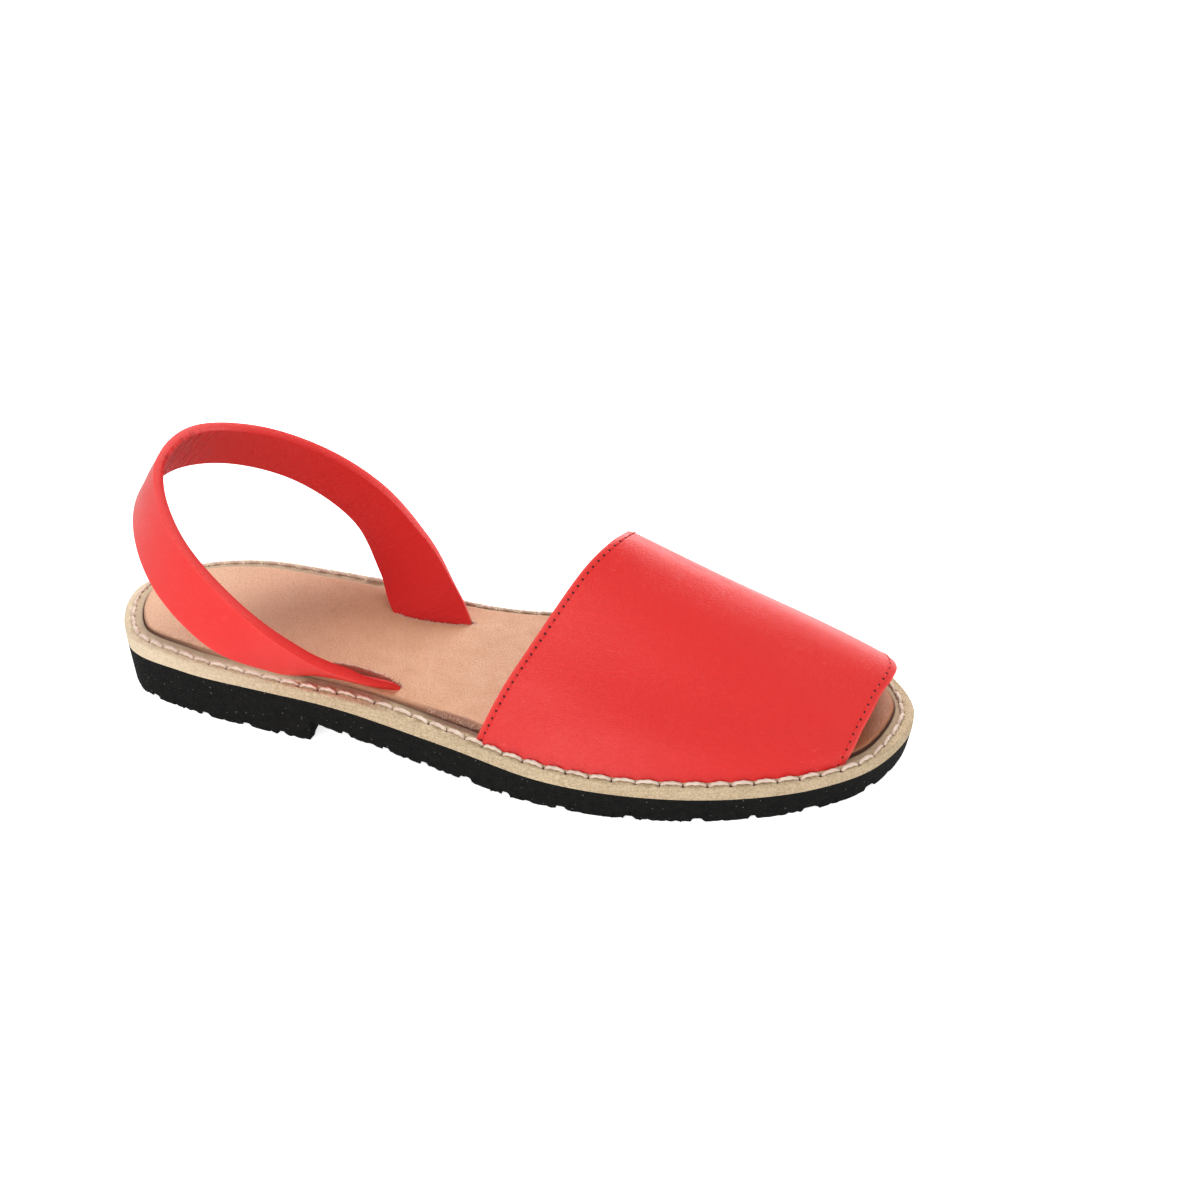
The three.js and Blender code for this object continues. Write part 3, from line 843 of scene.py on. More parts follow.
def vamp_normal(u, v):
    step = 0.002
    low_u, high_u = np.maximum(u - step, 0), np.minimum(u + step, 1)
    low_v, high_v = np.maximum(v - step, 0), np.minimum(v + step, 1)
    across = np.cross(vamp_point(high_u, v) - vamp_point(low_u, v),
                      vamp_point(u, high_v) - vamp_point(u, low_v))
    return across / np.linalg.norm(across, axis=-1, keepdims=True)


print("vamp ridge, mm:", [round(float(vamp_point(u, 0.46)[2]) * 1000, 1) for u in (0, 0.5, 1)])

# %% [markdown]
# New leather on a shelf has hardly any creases. What it has are a few soft hollows where it was
# pulled down to the rim and a slight roll along its edges. They are listed as soft troughs and
# ridges, each at a share of the vamp's length and of its girth, with its size in millimetres. The
# sheet is then thickened inwards and its cut edges rounded.

# %% Vamp
VAMP_CREASES = table("u v length width turn depth", [
    (0.1, 0.09, 0.16, 0.035, 8, 0.35),
    (0.38, 0.06, 0.2, 0.03, -4, 0.25),
    (0.72, 0.08, 0.18, 0.04, 5, 0.3),
    (0.45, 0.19, 0.65, 0.07, -2, 1.5),
    (0.3, 0.34, 0.35, 0.06, 3, -0.5),
    (0.75, 0.36, 0.25, 0.07, -6, 0.25),
    (0.2, 0.55, 0.3, 0.05, 0, -0.2),
    (0.45, 0.93, 0.25, 0.04, 4, 0.3),
])
VAMP_SINK = 0.0012


def crease_depth(creases, u, v):
    """Depth of a list of soft troughs at a place of a sheet, in metres."""
    total = np.zeros_like(u)
    for crease in creases:
        angle = math.radians(crease["turn"])
        du, dv = u - crease["u"], v - crease["v"]
        a = (du * math.cos(angle) + dv * math.sin(angle)) / crease["length"]
        b = (dv * math.cos(angle) - du * math.sin(angle)) / crease["width"]
        total += crease["depth"] * 0.001 * np.exp(-a * a - b * b)
    return total


def vamp_place(u, v):
    """The vamp with its creases, rolled at both edges and sunk a little into the rim."""
    girth = np.clip(v * 1.02 - 0.01, 0, 1)
    below = np.maximum(np.abs(v * 1.02 - 0.51) - 0.5, 0) / 0.01
    point = vamp_point(u, girth)
    edge = np.minimum(u, 1 - u) * 0.08
    roll = 0.0003 * np.exp(-(edge / 0.0012) ** 2)
    inwards = crease_depth(VAMP_CREASES, u, girth) + roll
    point = point - vamp_normal(u, girth) * inwards[:, None]
    point[:, 2] -= below * VAMP_SINK
    return point


vamp = lay_grid("red_vamp", 110, 200, vamp_place)
turn_outwards(vamp, (0.05, 0, 0))
apply_modifier(vamp, "SOLIDIFY", thickness=VAMP_THICKNESS, offset=-1, use_even_offset=True)
apply_modifier(vamp, "BEVEL", width=0.0006, segments=3, limit_method="ANGLE",
               angle_limit=math.radians(50))
finish_piece(vamp, 40)
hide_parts("vamp")

# %% [markdown]
# A fine red thread runs along both cut edges of the vamp, in short stitches that sit in small
# holes. Each hole is a small flattened ball painted dark, as painted shade in the hole. The stitch
# is the rim's stitch at another size. Its places come from walking along the vamp's surface at a
# fixed distance from the edge.

# %% Edge stitches of the vamp
EDGE_ROWS = table("name u inset pitch", [
    ("throat", 0.0, 0.0018, 0.0024),
    ("toe_opening", 1.0, 0.0024, 0.0025),
])


def edge_row(row):
    """Points, directions and normals of one stitch row, at the stitches and at the holes."""
    v = np.linspace(0.004, 0.996, 900)
    length = np.linalg.norm(vamp_point(1.0, v) - vamp_point(0.0, v), axis=1)
    u = np.abs(row["u"] - row["inset"] / length)
    line = vamp_point(u, v)
    walk = np.concatenate([[0], np.cumsum(np.linalg.norm(np.diff(line, axis=0), axis=1))])
    count = int(walk[-1] / row["pitch"])
    print(row["name"], "stitches:", count)
    spots = {}
    for kind, shift in (("stitch", 0.5), ("hole", 0.0)):
        at = (np.arange(count) + shift) * walk[-1] / count
        at_v = np.interp(at, walk, v)
        at_u = np.interp(at, walk, u)
        normal = vamp_normal(at_u, at_v)
        inwards = crease_depth(VAMP_CREASES, at_u, at_v)[:, None]
        point = vamp_point(at_u, at_v) - normal * inwards
        after, before = (
            np.stack([np.interp(at + step, walk, line[:, k]) for k in range(3)], axis=1)
            for step in (0.0005, -0.0005))
        sunk = 0.00002 if kind == "stitch" else 0.00008
        spots[kind] = list(zip(point - normal * sunk, after - before, normal))
    return spots


edge_places = [edge_row(row) for row in EDGE_ROWS]
edge_stitch = make_stitch("edge_stitch", 0.0019, 0.00018, 0.0002, 0.5, around=7, steps=6)
edge_stitches = copy_along(edge_stitch, "vamp_edge_stitches",
                           edge_places[0]["stitch"] + edge_places[1]["stitch"])
finish_piece(edge_stitches, 60)

# Painted shade: each awl hole is a small dark flattened ball.
bpy.ops.object.select_all(action="DESELECT")
bpy.ops.mesh.primitive_ico_sphere_add(subdivisions=2, radius=0.00038)
awl_hole_shade_ball = bpy.context.object
awl_hole_shade_ball.data.transform(Matrix.Diagonal((1.1, 1, 0.5, 1)))
awl_hole_shades = copy_along(awl_hole_shade_ball, "vamp_awl_hole_shades",
                       edge_places[0]["hole"] + edge_places[1]["hole"])
finish_piece(awl_hole_shades, 60)

# %% [markdown]
# The heel strap is a long band of doubled leather with rounded edges. It comes up out of
# the outer slot lying almost flat, turns on edge, loops behind the heel and goes down
# into the inner slot. A curve with a bevel object would twist by itself. Here a table
# gives the middle line and the lean of the band at each place, as on the real one.

# %% Surface of the strap
STRAP_WIDTH = 0.022
STRAP_THICKNESS = 0.003
STRAP_HEIGHT = 0.0755

STRAP = table("at forward side up lean", [
    (-0.04, 0.364, -0.4, 0.13, (1, -0.06, -0.06)),
    (0, 0.367, -0.412, 0.242, (1, -0.1, -0.03)),
    (0.05, 0.338, -0.523, 0.344, (0.94, -0.31, 0.21)),
    (0.11, 0.291, -0.615, 0.43, (0.69, -0.41, 0.6)),
    (0.2, 0.223, -0.664, 0.582, (0.59, -0.17, 0.79)),
    (0.3, 0.151, -0.574, 0.789, (0.53, -0.12, 0.84)),
    (0.4, 0.102, -0.323, 0.947, (0.54, -0.15, 0.83)),
    (0.5, 0.095, 0.017, 0.997, (0.63, -0.16, 0.76)),
    (0.6, 0.136, 0.322, 0.929, (0.67, -0.26, 0.69)),
    (0.7, 0.204, 0.516, 0.791, (0.6, -0.36, 0.72)),
    (0.8, 0.279, 0.542, 0.621, (0.52, -0.27, 0.81)),
    (0.89, 0.34, 0.391, 0.458, (0.69, 0.06, 0.72)),
    (0.95, 0.376, 0.237, 0.355, (0.91, 0.24, 0.33)),
    (1, 0.402, 0.163, 0.235, (0.98, 0.17, -0.08)),
    (1.04, 0.404, 0.145, 0.13, (0.98, 0.17, -0.08)),
])
STRAP_ENDS = (-0.02, 1.02)


def strap_middle(at):
    return np.stack([forward(along(STRAP, at, "forward")),
                     along(STRAP, at, "side") * HEEL_WIDTH,
                     along(STRAP, at, "up") * STRAP_HEIGHT], axis=-1)


def strap_axes(at):
    """Directions across the band and through it, at one or many places."""
    tangent = strap_middle(at + 0.004) - strap_middle(at - 0.004)
    tangent /= np.linalg.norm(tangent, axis=-1, keepdims=True)
    leans = [[{"at": row["at"], "c": row["lean"][k]} for row in STRAP] for k in range(3)]
    across = np.stack([along(column, at, "c") for column in leans], axis=-1)
    across -= tangent * np.sum(across * tangent, axis=-1, keepdims=True)
    across /= np.linalg.norm(across, axis=-1, keepdims=True)
    return across, np.cross(tangent, across)


# %% Heel strap
STRAP_CREASES = table("u v length width turn depth", [
    (0.43, 0.3, 0.012, 0.16, 2, 0.3),
    (0.465, 0.25, 0.01, 0.2, -2, 0.35),
    (0.5, 0.3, 0.012, 0.18, 1, 0.3),
    (0.07, 0.6, 0.03, 0.12, 6, 0.25),
    (0.9, 0.3, 0.03, 0.2, -8, 0.3),
])


def strap_place(u, v):
    at = STRAP_ENDS[0] + (STRAP_ENDS[1] - STRAP_ENDS[0]) * u
    across, through = strap_axes(at)
    swell = 0.00018 * np.cos((v - 0.5) * np.pi)
    out = STRAP_THICKNESS / 2 + swell - crease_depth(STRAP_CREASES, u, v)
    return (strap_middle(at) + across * ((v - 0.5) * STRAP_WIDTH)[:, None]
            - through * out[:, None])


strap = lay_grid("red_heel_strap", 340, 22, strap_place)
turn_outwards(strap, (-0.06, 0, 0.05))
apply_modifier(strap, "SOLIDIFY", thickness=STRAP_THICKNESS, offset=-1)
apply_modifier(strap, "BEVEL", width=0.0009, segments=4, limit_method="ANGLE",
               angle_limit=math.radians(50))

# The inner face is marked for its finish, and both ends are thinned towards the slots.
middle_at = np.linspace(0, 1, 200)
middle_line = strap_middle(middle_at)
middle_across, middle_through = strap_axes(middle_at)
strap_points = points_of(strap)
closest = np.argmin(((strap_points[:, None] - middle_line[None]) ** 2).sum(2), axis=1)
depth_in = np.sum((strap_points - middle_line[closest]) * middle_through[closest], axis=1)
write_attribute(strap, "inner", np.clip(depth_in / 0.0012 + 0.2, 0, 1))
near_end = np.clip(1 - np.minimum(middle_at, 1 - middle_at)[closest] / 0.07, 0, 1)
near_end = near_end ** 2 * (3 - 2 * near_end)
width_at = np.sum((strap_points - middle_line[closest]) * middle_across[closest], axis=1)
tip = np.clip((width_at - 0.006) / 0.0052, 0, 1) * (middle_at[closest] < 0.5)
thinner = (0.1 + 0.8 * (1 - np.sqrt(1 - tip ** 2))) * near_end * depth_in
strap.data.vertices.foreach_set(
    "co", (strap_points - middle_through[closest] * thinner[:, None]).ravel())
strap.data.update()
finish_piece(strap, 40)
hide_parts("heel_strap")
print("strap from", [round(float(c), 4) for c in points_of(strap).min(0)],
      "to", [round(float(c), 4) for c in points_of(strap).max(0)])

# %% [markdown]
# Materials. Each finish is a Principled shader of its own, and what several finishes
# share, such as grain, mottling and specks, is a node group with named inputs and outputs.
# Everything reads object coordinates, so a pattern stays on its piece from all sides.

# %% Node helpers
def add_node(tree, kind, props=None, **inputs):
    """A node with its properties set and its inputs given a value or a link."""
    node = tree.nodes.new(kind)
    for key, value in (props or {}).items():
        setattr(node, key, value)
    for key, value in inputs.items():
        socket = node.inputs[int(key[1:]) if key[0] == "_" else key.replace("_", " ")]
        if isinstance(value, bpy.types.NodeSocket):
            tree.links.new(value, socket)
        else:
            socket.default_value = value
    return node


def calculate(tree, operation, a, b=0.0, clamp=False):
    return add_node(tree, "ShaderNodeMath", {"operation": operation, "use_clamp": clamp},
                    _0=a, _1=b).outputs[0]


def ramp(tree, value, low, high):
    """0 below low, 1 above high, soft in between."""
    return add_node(tree, "ShaderNodeMapRange", {"interpolation_type": "SMOOTHSTEP"},
                    Value=value, From_Min=low, From_Max=high).outputs[0]


def blend(tree, factor, first, second):
    node = add_node(tree, "ShaderNodeMix", {"data_type": "RGBA"}, _0=factor, _6=first, _7=second)
    return node.outputs[2]


def shared_group(name, inputs, outputs):
    group = bpy.data.node_groups.new(name, "ShaderNodeTree")
    for label, kind, value in inputs:
        socket = group.interface.new_socket(name=label, in_out="INPUT", socket_type=kind)
        if value is not None:
            socket.default_value = value
    for label, kind in outputs:
        group.interface.new_socket(name=label, in_out="OUTPUT", socket_type=kind)
    return group, group.nodes.new("NodeGroupInput").outputs, group.nodes.new("NodeGroupOutput")


def place_group(tree, group, **inputs):
    return add_node(tree, "ShaderNodeGroup", {"node_tree": group}, **inputs).outputs


def new_material(name, **shader_values):
    material = bpy.data.materials.new(name)
    material.use_nodes = True
    shader = material.node_tree.nodes["Principled BSDF"]
    for key, value in shader_values.items():
        shader.inputs[key.replace("_", " ")].default_value = value
    return material, material.node_tree, shader


def weigh(tree, value, weight):
    return calculate(tree, "MULTIPLY", value, weight)


def opposite(tree, value):
    return calculate(tree, "SUBTRACT", 1.0, value)


def own_place(tree):
    """Object coordinates, so that a pattern stays on its piece."""
    return add_node(tree, "ShaderNodeTexCoord").outputs["Object"]


FLOAT, VECTOR = "NodeSocketFloat", "NodeSocketVector"

# %% Shared groups
grain_group, give, take = shared_group(
    "leather_grain",
    [("Position", VECTOR, None), ("Scale", FLOAT, 1200.0), ("Pores", FLOAT, 0.4)],
    [("Height", FLOAT), ("Pore", FLOAT)])
cells = add_node(grain_group, "ShaderNodeTexVoronoi", {"feature": "DISTANCE_TO_EDGE"},
                 Vector=give["Position"], Scale=give["Scale"], Randomness=1.0)
valley = ramp(grain_group, cells.outputs["Distance"], 0.0, 0.22)
fine = add_node(grain_group, "ShaderNodeTexNoise", Vector=give["Position"], Scale=2600.0,
                Detail=3.0, Roughness=0.6)
pore = add_node(grain_group, "ShaderNodeTexVoronoi", {"feature": "F1"},
                Vector=give["Position"], Scale=weigh(grain_group, give["Scale"], 0.55))
pit = ramp(grain_group, pore.outputs["Distance"], 0.05, 0.2)
pitted = weigh(grain_group, opposite(grain_group, pit), give["Pores"])
height = calculate(grain_group, "ADD", valley, weigh(grain_group, fine.outputs["Fac"], 0.5))
grain_group.links.new(calculate(grain_group, "SUBTRACT", height, pitted), take.inputs["Height"])
grain_group.links.new(pitted, take.inputs["Pore"])

mottle_group, give, take = shared_group(
    "mottle", [("Position", VECTOR, None), ("Scale", FLOAT, 40.0), ("Contrast", FLOAT, 0.5)],
    [("Tone", FLOAT)])
broad = add_node(mottle_group, "ShaderNodeTexNoise", Vector=give["Position"], Scale=give["Scale"],
                 Detail=4.0, Roughness=0.55)
tone = calculate(mottle_group, "SUBTRACT", broad.outputs["Fac"], 0.5)
tone = weigh(mottle_group, tone, give["Contrast"])
mottle_group.links.new(calculate(mottle_group, "ADD", tone, 0.5, clamp=True), take.inputs["Tone"])

speck_group, give, take = shared_group(
    "specks", [("Position", VECTOR, None), ("Scale", FLOAT, 900.0), ("Amount", FLOAT, 0.1)],
    [("Mask", FLOAT)])
dots = add_node(speck_group, "ShaderNodeTexVoronoi", {"feature": "F1"},
                Vector=give["Position"], Scale=give["Scale"])
chance = add_node(speck_group, "ShaderNodeSeparateColor", Color=dots.outputs["Color"]).outputs[0]
size = weigh(speck_group, chance, give["Amount"])
inside = calculate(speck_group, "LESS_THAN", dots.outputs["Distance"], size)
speck_group.links.new(inside, take.inputs["Mask"])

fibre_group, give, take = shared_group(
    "fibre", [("Position", VECTOR, None), ("Stretch", VECTOR, (150.0, 150.0, 2200.0))],
    [("Height", FLOAT)])
long_way = add_node(fibre_group, "ShaderNodeMapping", Vector=give["Position"],
                    Scale=give["Stretch"])
strands = add_node(fibre_group, "ShaderNodeTexNoise", Vector=long_way.outputs[0], Scale=1.0,
                   Detail=4.0, Roughness=0.65)
fibre_group.links.new(strands.outputs["Fac"], take.inputs["Height"])

scuff_group, give, take = shared_group(
    "scuffs", [("Position", VECTOR, None), ("Stretch", VECTOR, (90.0, 900.0, 900.0)),
               ("Amount", FLOAT, 0.1)], [("Mask", FLOAT)])
long_way = add_node(scuff_group, "ShaderNodeMapping", Vector=give["Position"],
                    Scale=give["Stretch"], Rotation=(0.3, 0.2, 0.6))
scratch = add_node(scuff_group, "ShaderNodeTexNoise", Vector=long_way.outputs[0], Scale=1.0,
                   Detail=1.0)
patch = add_node(scuff_group, "ShaderNodeTexNoise", Vector=give["Position"], Scale=45.0,
                 Detail=1.0)
line = ramp(scuff_group, scratch.outputs["Fac"], 0.66, 0.78)
there = ramp(scuff_group, patch.outputs["Fac"], 0.5, 0.62)
mask = weigh(scuff_group, weigh(scuff_group, line, there), give["Amount"])
scuff_group.links.new(mask, take.inputs["Mask"])
print("groups:", sorted(group.name for group in bpy.data.node_groups))

# %% [markdown]
# The red leather is dyed through its surface, smooth, with a soft sheen and a faint grain.
# Its colour is nearly even, a little deeper in broad clouds, with a few fine scratches, and paler
# along the cut edges with a painted highlight. The strap's inner face is the same leather seen
# from its lining side: painted deeper for the shade inside the loop, less shiny, and finely
# wrinkled where the strap bends, with painted shade in the wrinkles' valleys. The vamp's and the
# strap's own maps say where the edges are.

# %% Red leather
def bump(tree, shader, height, distance, strength=1.0):
    node = add_node(tree, "ShaderNodeBump", Height=height, Distance=distance, Strength=strength)
    tree.links.new(node.outputs["Normal"], shader.inputs["Normal"])


def map_places(tree):
    """The two coordinates of the piece's own map, from 0 to 1."""
    flat = add_node(tree, "ShaderNodeTexCoord").outputs["UV"]
    return add_node(tree, "ShaderNodeSeparateXYZ", Vector=flat).outputs[:2]


def near_ends(tree, coordinate, width):
    """1 at both ends of a map coordinate, 0 further in than width."""
    middle = calculate(tree, "ABSOLUTE", calculate(tree, "SUBTRACT", coordinate, 0.5))
    return ramp(tree, middle, 0.5 - width, 0.5 - width * 0.15)


def attribute(tree, name):
    return add_node(tree, "ShaderNodeAttribute", {"attribute_name": name}).outputs["Fac"]


RED = (0.76, 0.02, 0.015, 1)
RED_DEEP = (0.645, 0.010, 0.009, 1)
RED_PALE = (0.84, 0.07, 0.058, 1)
RED_INSIDE_SHADE = (0.55, 0.010, 0.008, 1)


def red_surface(tree, position):
    """Clouded red and its tone, shared by the vamp and the strap."""
    tone = place_group(tree, mottle_group, Position=position, Scale=24.0, Contrast=1.3)["Tone"]
    fine_tone = place_group(tree, mottle_group, Position=position, Scale=420.0,
                            Contrast=0.8)["Tone"]
    mixed = weigh(tree, calculate(tree, "ADD", tone, fine_tone), 0.5)
    scuff = place_group(tree, scuff_group, Position=position, Amount=0.35)["Mask"]
    return blend(tree, scuff, blend(tree, mixed, RED, RED_DEEP), RED_PALE), tone


vamp_leather, tree, shader = new_material("vamp_leather", IOR=1.45, Specular_IOR_Level=0.5,
                                          Sheen_Weight=0.28, Sheen_Roughness=0.35)
position = own_place(tree)
colour, tone = red_surface(tree, position)
to_toe = map_places(tree)[0]
# Painted highlight: the vamp is paler along its cut edges.
vamp_edge_highlight = weigh(tree, near_ends(tree, to_toe, 0.012), 0.55)
colour = blend(tree, vamp_edge_highlight, colour, RED_PALE)
tree.links.new(colour, shader.inputs["Base Color"])
tree.links.new(calculate(tree, "ADD", weigh(tree, tone, 0.2), 0.3), shader.inputs["Roughness"])
grain = place_group(tree, grain_group, Position=position, Scale=1500.0, Pores=0.5)["Height"]
ripple = place_group(tree, fibre_group, Position=position, Stretch=(140.0, 420.0, 420.0))["Height"]
bump(tree, shader, calculate(tree, "ADD", grain, weigh(tree, ripple, 2.2)), 0.00004)
vamp.data.materials.append(vamp_leather)

strap_leather, tree, shader = new_material("strap_leather", IOR=1.45, Specular_IOR_Level=0.32)
position = own_place(tree)
colour, tone = red_surface(tree, position)
along_strap, over_strap = map_places(tree)
inner = attribute(tree, "inner")
# Painted shade: the inner face is deeper red for the shade inside the loop.
colour = blend(tree, inner, colour, RED_INSIDE_SHADE)
across_band = add_node(tree, "ShaderNodeCombineXYZ", X=weigh(tree, along_strap, 190.0),
                       Y=weigh(tree, over_strap, 1.6)).outputs[0]
wrinkle = add_node(tree, "ShaderNodeTexNoise", Vector=across_band, Scale=1.0, Detail=1.5,
                   Distortion=0.25).outputs["Fac"]
back_bend = weigh(tree, ramp(tree, along_strap, 0.36, 0.44),
                  opposite(tree, ramp(tree, along_strap, 0.46, 0.6)))
foot_bend = ramp(tree, along_strap, 0.7, 0.86)
# Painted shade in the valleys of the wrinkles where the strap bends.
wrinkle_valley_shade = weigh(tree, ramp(tree, wrinkle, 0.5, 0.62),
                weigh(tree, back_bend, weigh(tree, inner, 0.6)))
colour = blend(tree, wrinkle_valley_shade, colour, (0.30, 0.008, 0.007, 1))
# Painted highlight: the outer face is paler along the strap's edges.
outer_only = calculate(tree, "SUBTRACT", 0.28, weigh(tree, inner, 0.25))
strap_edge_highlight = weigh(tree, near_ends(tree, over_strap, 0.05), outer_only)
tree.links.new(blend(tree, strap_edge_highlight, colour, RED_PALE), shader.inputs["Base Color"])
lining_matt = calculate(tree, "ADD", weigh(tree, inner, 0.3), 0.34)
shine = calculate(tree, "ADD", weigh(tree, tone, 0.2), lining_matt)
tree.links.new(shine, shader.inputs["Roughness"])
grain = place_group(tree, grain_group, Position=position, Scale=1300.0, Pores=0.6)["Height"]
bends = calculate(tree, "ADD", back_bend, weigh(tree, foot_bend, 0.25))
wrinkled = weigh(tree, weigh(tree, wrinkle, 42.0), weigh(tree, bends, ramp(tree, inner, 0.6, 1.0)))
bump(tree, shader, calculate(tree, "ADD", grain, wrinkled), 0.00004)
strap.data.materials.append(strap_leather)

# %% Thread and painted hole shade of the vamp
def two_tones(piece, name, scale, contrast, light, dark, **shader_values):
    """A small piece's finish: one colour that wavers to another."""
    material, tree, shader = new_material(name, **shader_values)
    tone = place_group(tree, mottle_group, Position=own_place(tree), Scale=scale,
                       Contrast=contrast)["Tone"]
    tree.links.new(blend(tree, tone, light, dark), shader.inputs["Base Color"])
    piece.data.materials.append(material)


two_tones(edge_stitches, "red_thread", 900.0, 2.0,
          (0.80, 0.03, 0.024, 1), (0.70, 0.02, 0.017, 1), Roughness=0.65)
two_tones(awl_hole_shades, "hole_shade", 300.0, 2.0,
          (0.08, 0.004, 0.004, 1), (0.04, 0.003, 0.003, 1), Roughness=0.9)

# %% [markdown]
# The insole is vegetable-tanned: pale brown and blotchy where the hide took the dye. It is browner
# towards the toe, with painted shade from the vamp there as well; its edge is burnished and ends
# in a dark line of painted shade in the gap to the rim, and the cut lips of the slots are raw and
# brown.

# %% Tan leather
def paint(tree, colour, mask, weight, pigment):
    """A colour with another one over it where a mask is."""
    return blend(tree, weigh(tree, mask, weight), colour, pigment)


tan, tree, shader = new_material("tan_insole_leather", Specular_IOR_Level=0.35)
position = own_place(tree)
tone = place_group(tree, mottle_group, Position=position, Scale=30.0, Contrast=1.8)["Tone"]
cloud = place_group(tree, mottle_group, Position=position, Scale=170.0, Contrast=1.5)["Tone"]
mixed = weigh(tree, calculate(tree, "ADD", tone, cloud), 0.5)
colour = blend(tree, mixed, (0.65, 0.36, 0.215, 1), (0.51, 0.25, 0.135, 1))
forward_at = add_node(tree, "ShaderNodeSeparateXYZ", Vector=position).outputs[0]
heel_shade = opposite(tree, ramp(tree, forward_at, -0.11, -0.03))
colour = paint(tree, colour, heel_shade, 0.8, (0.79, 0.50, 0.34, 1))
hide = place_group(tree, fibre_group, Position=position,
                   Stretch=(1300.0, 1300.0, 1300.0))["Height"]
colour = paint(tree, colour, ramp(tree, hide, 0.46, 0.66), 0.34, (0.38, 0.18, 0.10, 1))
leather = place_group(tree, grain_group, Position=position, Scale=900.0, Pores=0.8)
colour = paint(tree, colour, leather["Pore"], 0.3, (0.34, 0.14, 0.07, 1))
# Browner towards the toe, its own colour, and painted shade under the vamp as well.
toe_brown_and_shade = ramp(tree, forward_at, 0.085, 0.118)
colour = paint(tree, colour, toe_brown_and_shade, 0.82, (0.36, 0.12, 0.04, 1))
inset = attribute(tree, "inset_mm")
ragged = weigh(tree, calculate(tree, "SUBTRACT", cloud, 0.5), 1.6)
ragged_inset = calculate(tree, "ADD", inset, ragged)
# How strong the burnish and the painted shade of the gap are along the edge.
burnish_and_gap_shade = attribute(tree, "burnish_and_gap_shade")
burnish = opposite(tree, ramp(tree, ragged_inset, 6.5, 7.1))
colour = paint(tree, colour, burnish, weigh(tree, burnish_and_gap_shade, 0.5), (0.24, 0.09, 0.04, 1))
# Painted shade: a dark line in the gap where the insole meets the rim.
insole_gap_shade = opposite(tree, ramp(tree, inset, 6.32, 6.62))
colour = paint(tree, colour, insole_gap_shade, burnish_and_gap_shade, (0.08, 0.03, 0.018, 1))
flesh = opposite(tree, ramp(tree, ragged_inset, 7.0, 7.9))
colour = paint(tree, colour, flesh, attribute(tree, "raw_edge"), (0.30, 0.14, 0.09, 1))
ragged_lip = calculate(tree, "ADD", attribute(tree, "lip_mm"), ragged)
lip = opposite(tree, ramp(tree, ragged_lip, 0.1, 1.0))
colour = paint(tree, colour, lip, 0.85, (0.58, 0.34, 0.24, 1))
tree.links.new(colour, shader.inputs["Base Color"])
tree.links.new(calculate(tree, "ADD", weigh(tree, cloud, 0.2), 0.45), shader.inputs["Roughness"])
bump(tree, shader, leather["Height"], 0.00007)
insole.data.materials.append(tan)

two_tones(fibres, "flesh_side", 900.0, 2.0, (0.76, 0.52, 0.40, 1), (0.34, 0.17, 0.11, 1),
          Roughness=0.9, Specular_IOR_Level=0.2)

# %% [markdown]
# The midsole is undyed, so its cut edge shows fine strands that lie along the sole. Its rim is
# browner inside the stitches, with painted shade in the stitch holes and in the gap next to the
# insole, and paler round the heel with painted light.

# %% Raw leather and thread
raw, tree, shader = new_material("raw_leather", Roughness=0.85, Specular_IOR_Level=0.25)
position = own_place(tree)
strands = place_group(tree, fibre_group, Position=position)["Height"]
nap = place_group(tree, fibre_group, Position=position, Stretch=(1500.0, 1500.0, 1500.0))["Height"]
tone = place_group(tree, mottle_group, Position=position, Scale=70.0, Contrast=1.6)["Tone"]
streaks = calculate(tree, "ADD", tone, ramp(tree, strands, 0.36, 0.64))
nap_tone = weigh(tree, ramp(tree, nap, 0.38, 0.64), 2.0)
mixed = weigh(tree, calculate(tree, "ADD", streaks, nap_tone), 0.25)
colour = blend(tree, mixed, (0.70, 0.555, 0.365, 1), (0.37, 0.265, 0.16, 1))
forward_at = add_node(tree, "ShaderNodeSeparateXYZ", Vector=position).outputs[0]
# Painted light: the rim is paler round the heel.
heel_painted_light = opposite(tree, ramp(tree, forward_at, -0.12, -0.04))
colour = paint(tree, colour, heel_painted_light, 0.55, (0.88, 0.73, 0.54, 1))
grit = place_group(tree, speck_group, Position=position, Scale=1600.0, Amount=0.5)["Mask"]
colour = paint(tree, colour, grit, 0.25, (0.24, 0.20, 0.15, 1))
inset = attribute(tree, "inset_mm")
colour = paint(tree, colour, ramp(tree, inset, 2.8, 4.6), 0.55, (0.38, 0.28, 0.19, 1))
torn_brown = blend(tree, nap, (0.50, 0.31, 0.22, 1), (0.20, 0.10, 0.07, 1))
colour = paint(tree, colour, ramp(tree, inset, 3.5, 4.4), attribute(tree, "raw_edge"), torn_brown)
# Painted shade in the gap next to the insole.
rim_gap_shade = ramp(tree, inset, 5.5, 6.2)
colour = paint(tree, colour, rim_gap_shade, attribute(tree, "burnish_and_gap_shade"), (0.07, 0.03, 0.018, 1))
colour = blend(tree, ramp(tree, inset, 7.0, 9.0), colour, (0.22, 0.10, 0.06, 1))
# Painted shade in the stitch holes.
rim_hole_shade = ramp(tree, attribute(tree, "hole"), 0.3, 0.85)
colour = blend(tree, rim_hole_shade, colour, (0.08, 0.04, 0.03, 1))
tree.links.new(colour, shader.inputs["Base Color"])
bump(tree, shader, calculate(tree, "ADD", strands, nap), 0.00022)
midsole.data.materials.append(raw)

two_tones(rim_stitches, "waxed_thread", 300.0, 1.8,
          (0.84, 0.71, 0.59, 1), (0.58, 0.42, 0.33, 1), Roughness=0.6)

# %% [markdown]
# The rubber is pressed from black crumbs, so it is matt, pitted and speckled with grey.

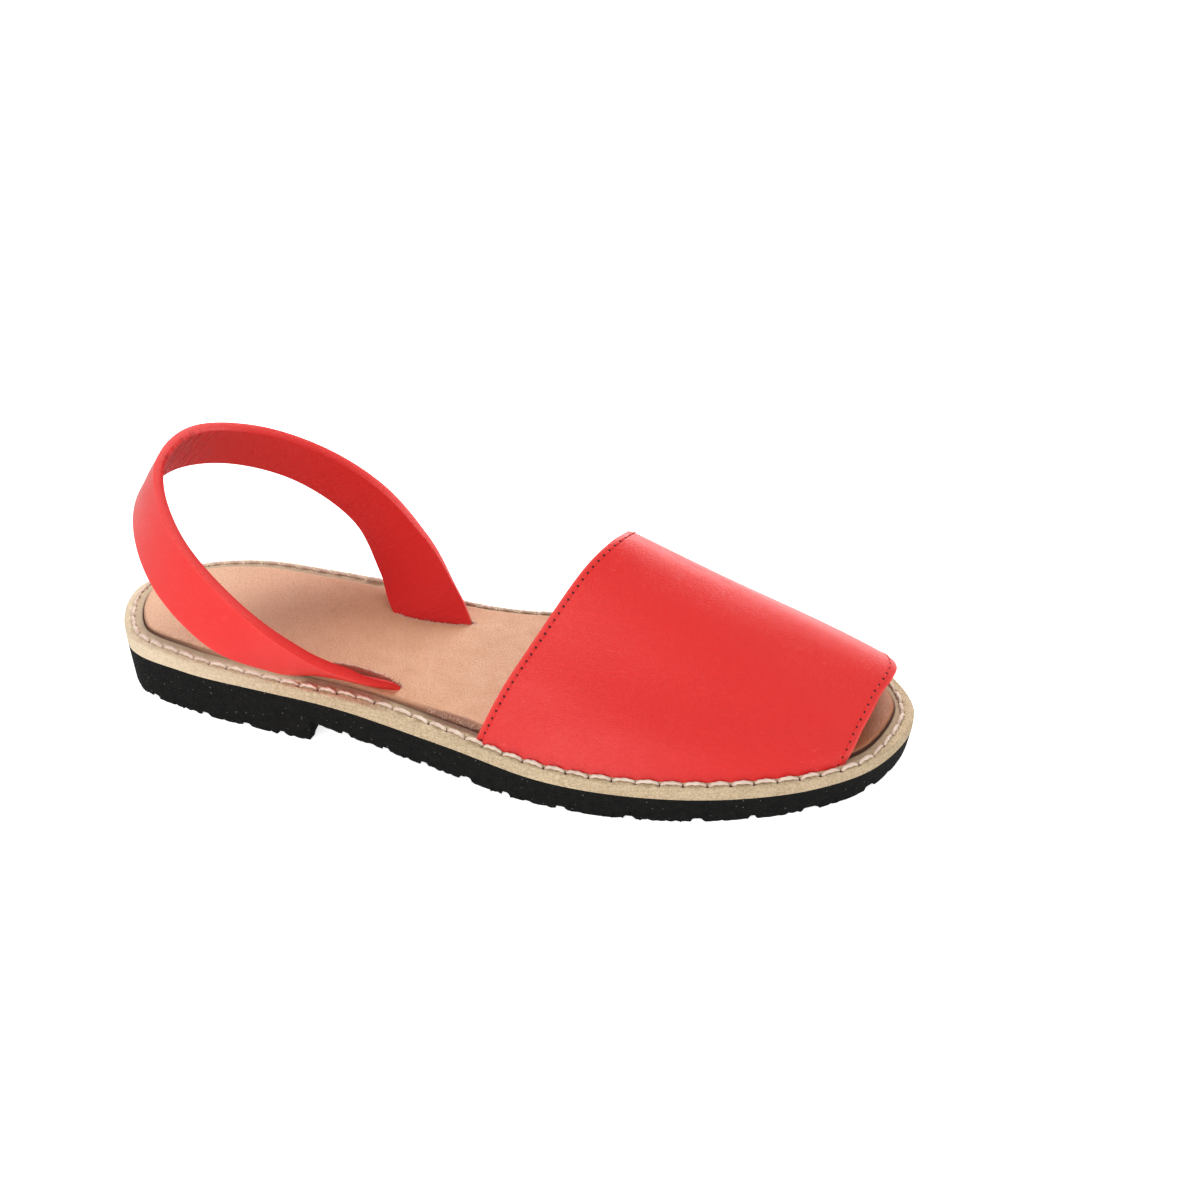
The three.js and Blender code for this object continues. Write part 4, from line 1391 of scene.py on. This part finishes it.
# %% Rubber
rubber, tree, shader = new_material("crumb_rubber", Roughness=0.95, Specular_IOR_Level=0.12)
position = own_place(tree)
tone = place_group(tree, mottle_group, Position=position, Scale=500.0, Contrast=1.8)["Tone"]
colour = blend(tree, tone, (0.004, 0.004, 0.004, 1), (0.011, 0.011, 0.010, 1))
speck = place_group(tree, speck_group, Position=position, Scale=600.0, Amount=0.16)["Mask"]
colour = blend(tree, speck, colour, (0.10, 0.10, 0.095, 1))
tree.links.new(colour, shader.inputs["Base Color"])
crumb = place_group(tree, grain_group, Position=position, Scale=700.0, Pores=1.0)["Height"]
bump(tree, shader, crumb, 0.0002)
outsole.data.materials.append(rubber)
crumbs.data.materials.append(rubber)

# %% [markdown]
# The photograph was taken in a white room with large soft lights, so the floor and the
# world are white to the camera, and four big area lamps give the soft gloss. The camera
# stands where the photographer's stood: in front of the outer side, about a third of a
# metre away.

# %% Floor, lights and camera
bpy.ops.mesh.primitive_plane_add(size=30)
floor = bpy.context.object
floor.name = "floor"
floor_paint, tree, shader = new_material("pale_floor", Base_Color=(0.86, 0.86, 0.86, 1),
                                         Roughness=0.9, Emission_Color=(1, 1, 1, 1))
seen = add_node(tree, "ShaderNodeLightPath").outputs["Is Camera Ray"]
glow = calculate(tree, "ADD", weigh(tree, seen, 0.4), 0.35)
tree.links.new(glow, shader.inputs["Emission Strength"])
floor.data.materials.append(floor_paint)

world = bpy.data.worlds.new("white_room")
world.use_nodes = True
backdrop = world.node_tree.nodes["Background"]
backdrop.inputs["Color"].default_value = (1, 1, 1, 1)
seen = add_node(world.node_tree, "ShaderNodeLightPath").outputs["Is Camera Ray"]
brightness = calculate(world.node_tree, "ADD", weigh(world.node_tree, seen, 0.6), 0.46)
world.node_tree.links.new(brightness, backdrop.inputs["Strength"])
bpy.context.scene.world = world

SHOE_MIDDLE = Vector((0.0, 0.0, 0.03))
LAMPS = table("name at size power", [
    ("overhead", (-0.2, 0.1, 0.95), 0.8, 1.4),
    ("behind", (0.1, 0.9, 0.66), 0.62, 11.5),
    ("front", (-0.2, -0.95, 0.5), 0.8, 6.6),
    ("right", (0.9, -0.1, 0.6), 0.7, 1.2),
])
for lamp in LAMPS:
    light = bpy.data.lights.new(lamp["name"], "AREA")
    light.size = lamp["size"]
    light.energy = lamp["power"]
    holder = bpy.data.objects.new(lamp["name"], light)
    bpy.context.scene.collection.objects.link(holder)
    holder.location = lamp["at"]
    holder.rotation_mode = "QUATERNION"
    holder.rotation_quaternion = (SHOE_MIDDLE - holder.location).to_track_quat("-Z", "Y")

camera_data = bpy.data.cameras.new("photo_camera")
camera_data.lens = 40.12
camera_data.sensor_width = 36
camera = bpy.data.objects.new("photo_camera", camera_data)
bpy.context.scene.collection.objects.link(camera)
right = Vector((0.9735, 0.2278, 0.0187)).normalized()
back = Vector((0.1844, -0.8310, 0.5249)).normalized()
up = back.cross(right).normalized()
right = up.cross(back)
camera.matrix_world = Matrix((right, up, back)).transposed().to_4x4()
camera.location = (0.10595, -0.33688, 0.25612)
bpy.context.scene.camera = camera
bpy.context.scene.view_settings.view_transform = "Standard"

# %% [markdown]
# Last, the scene's layers are brought up to date.

# %% End
bpy.context.view_layer.update()
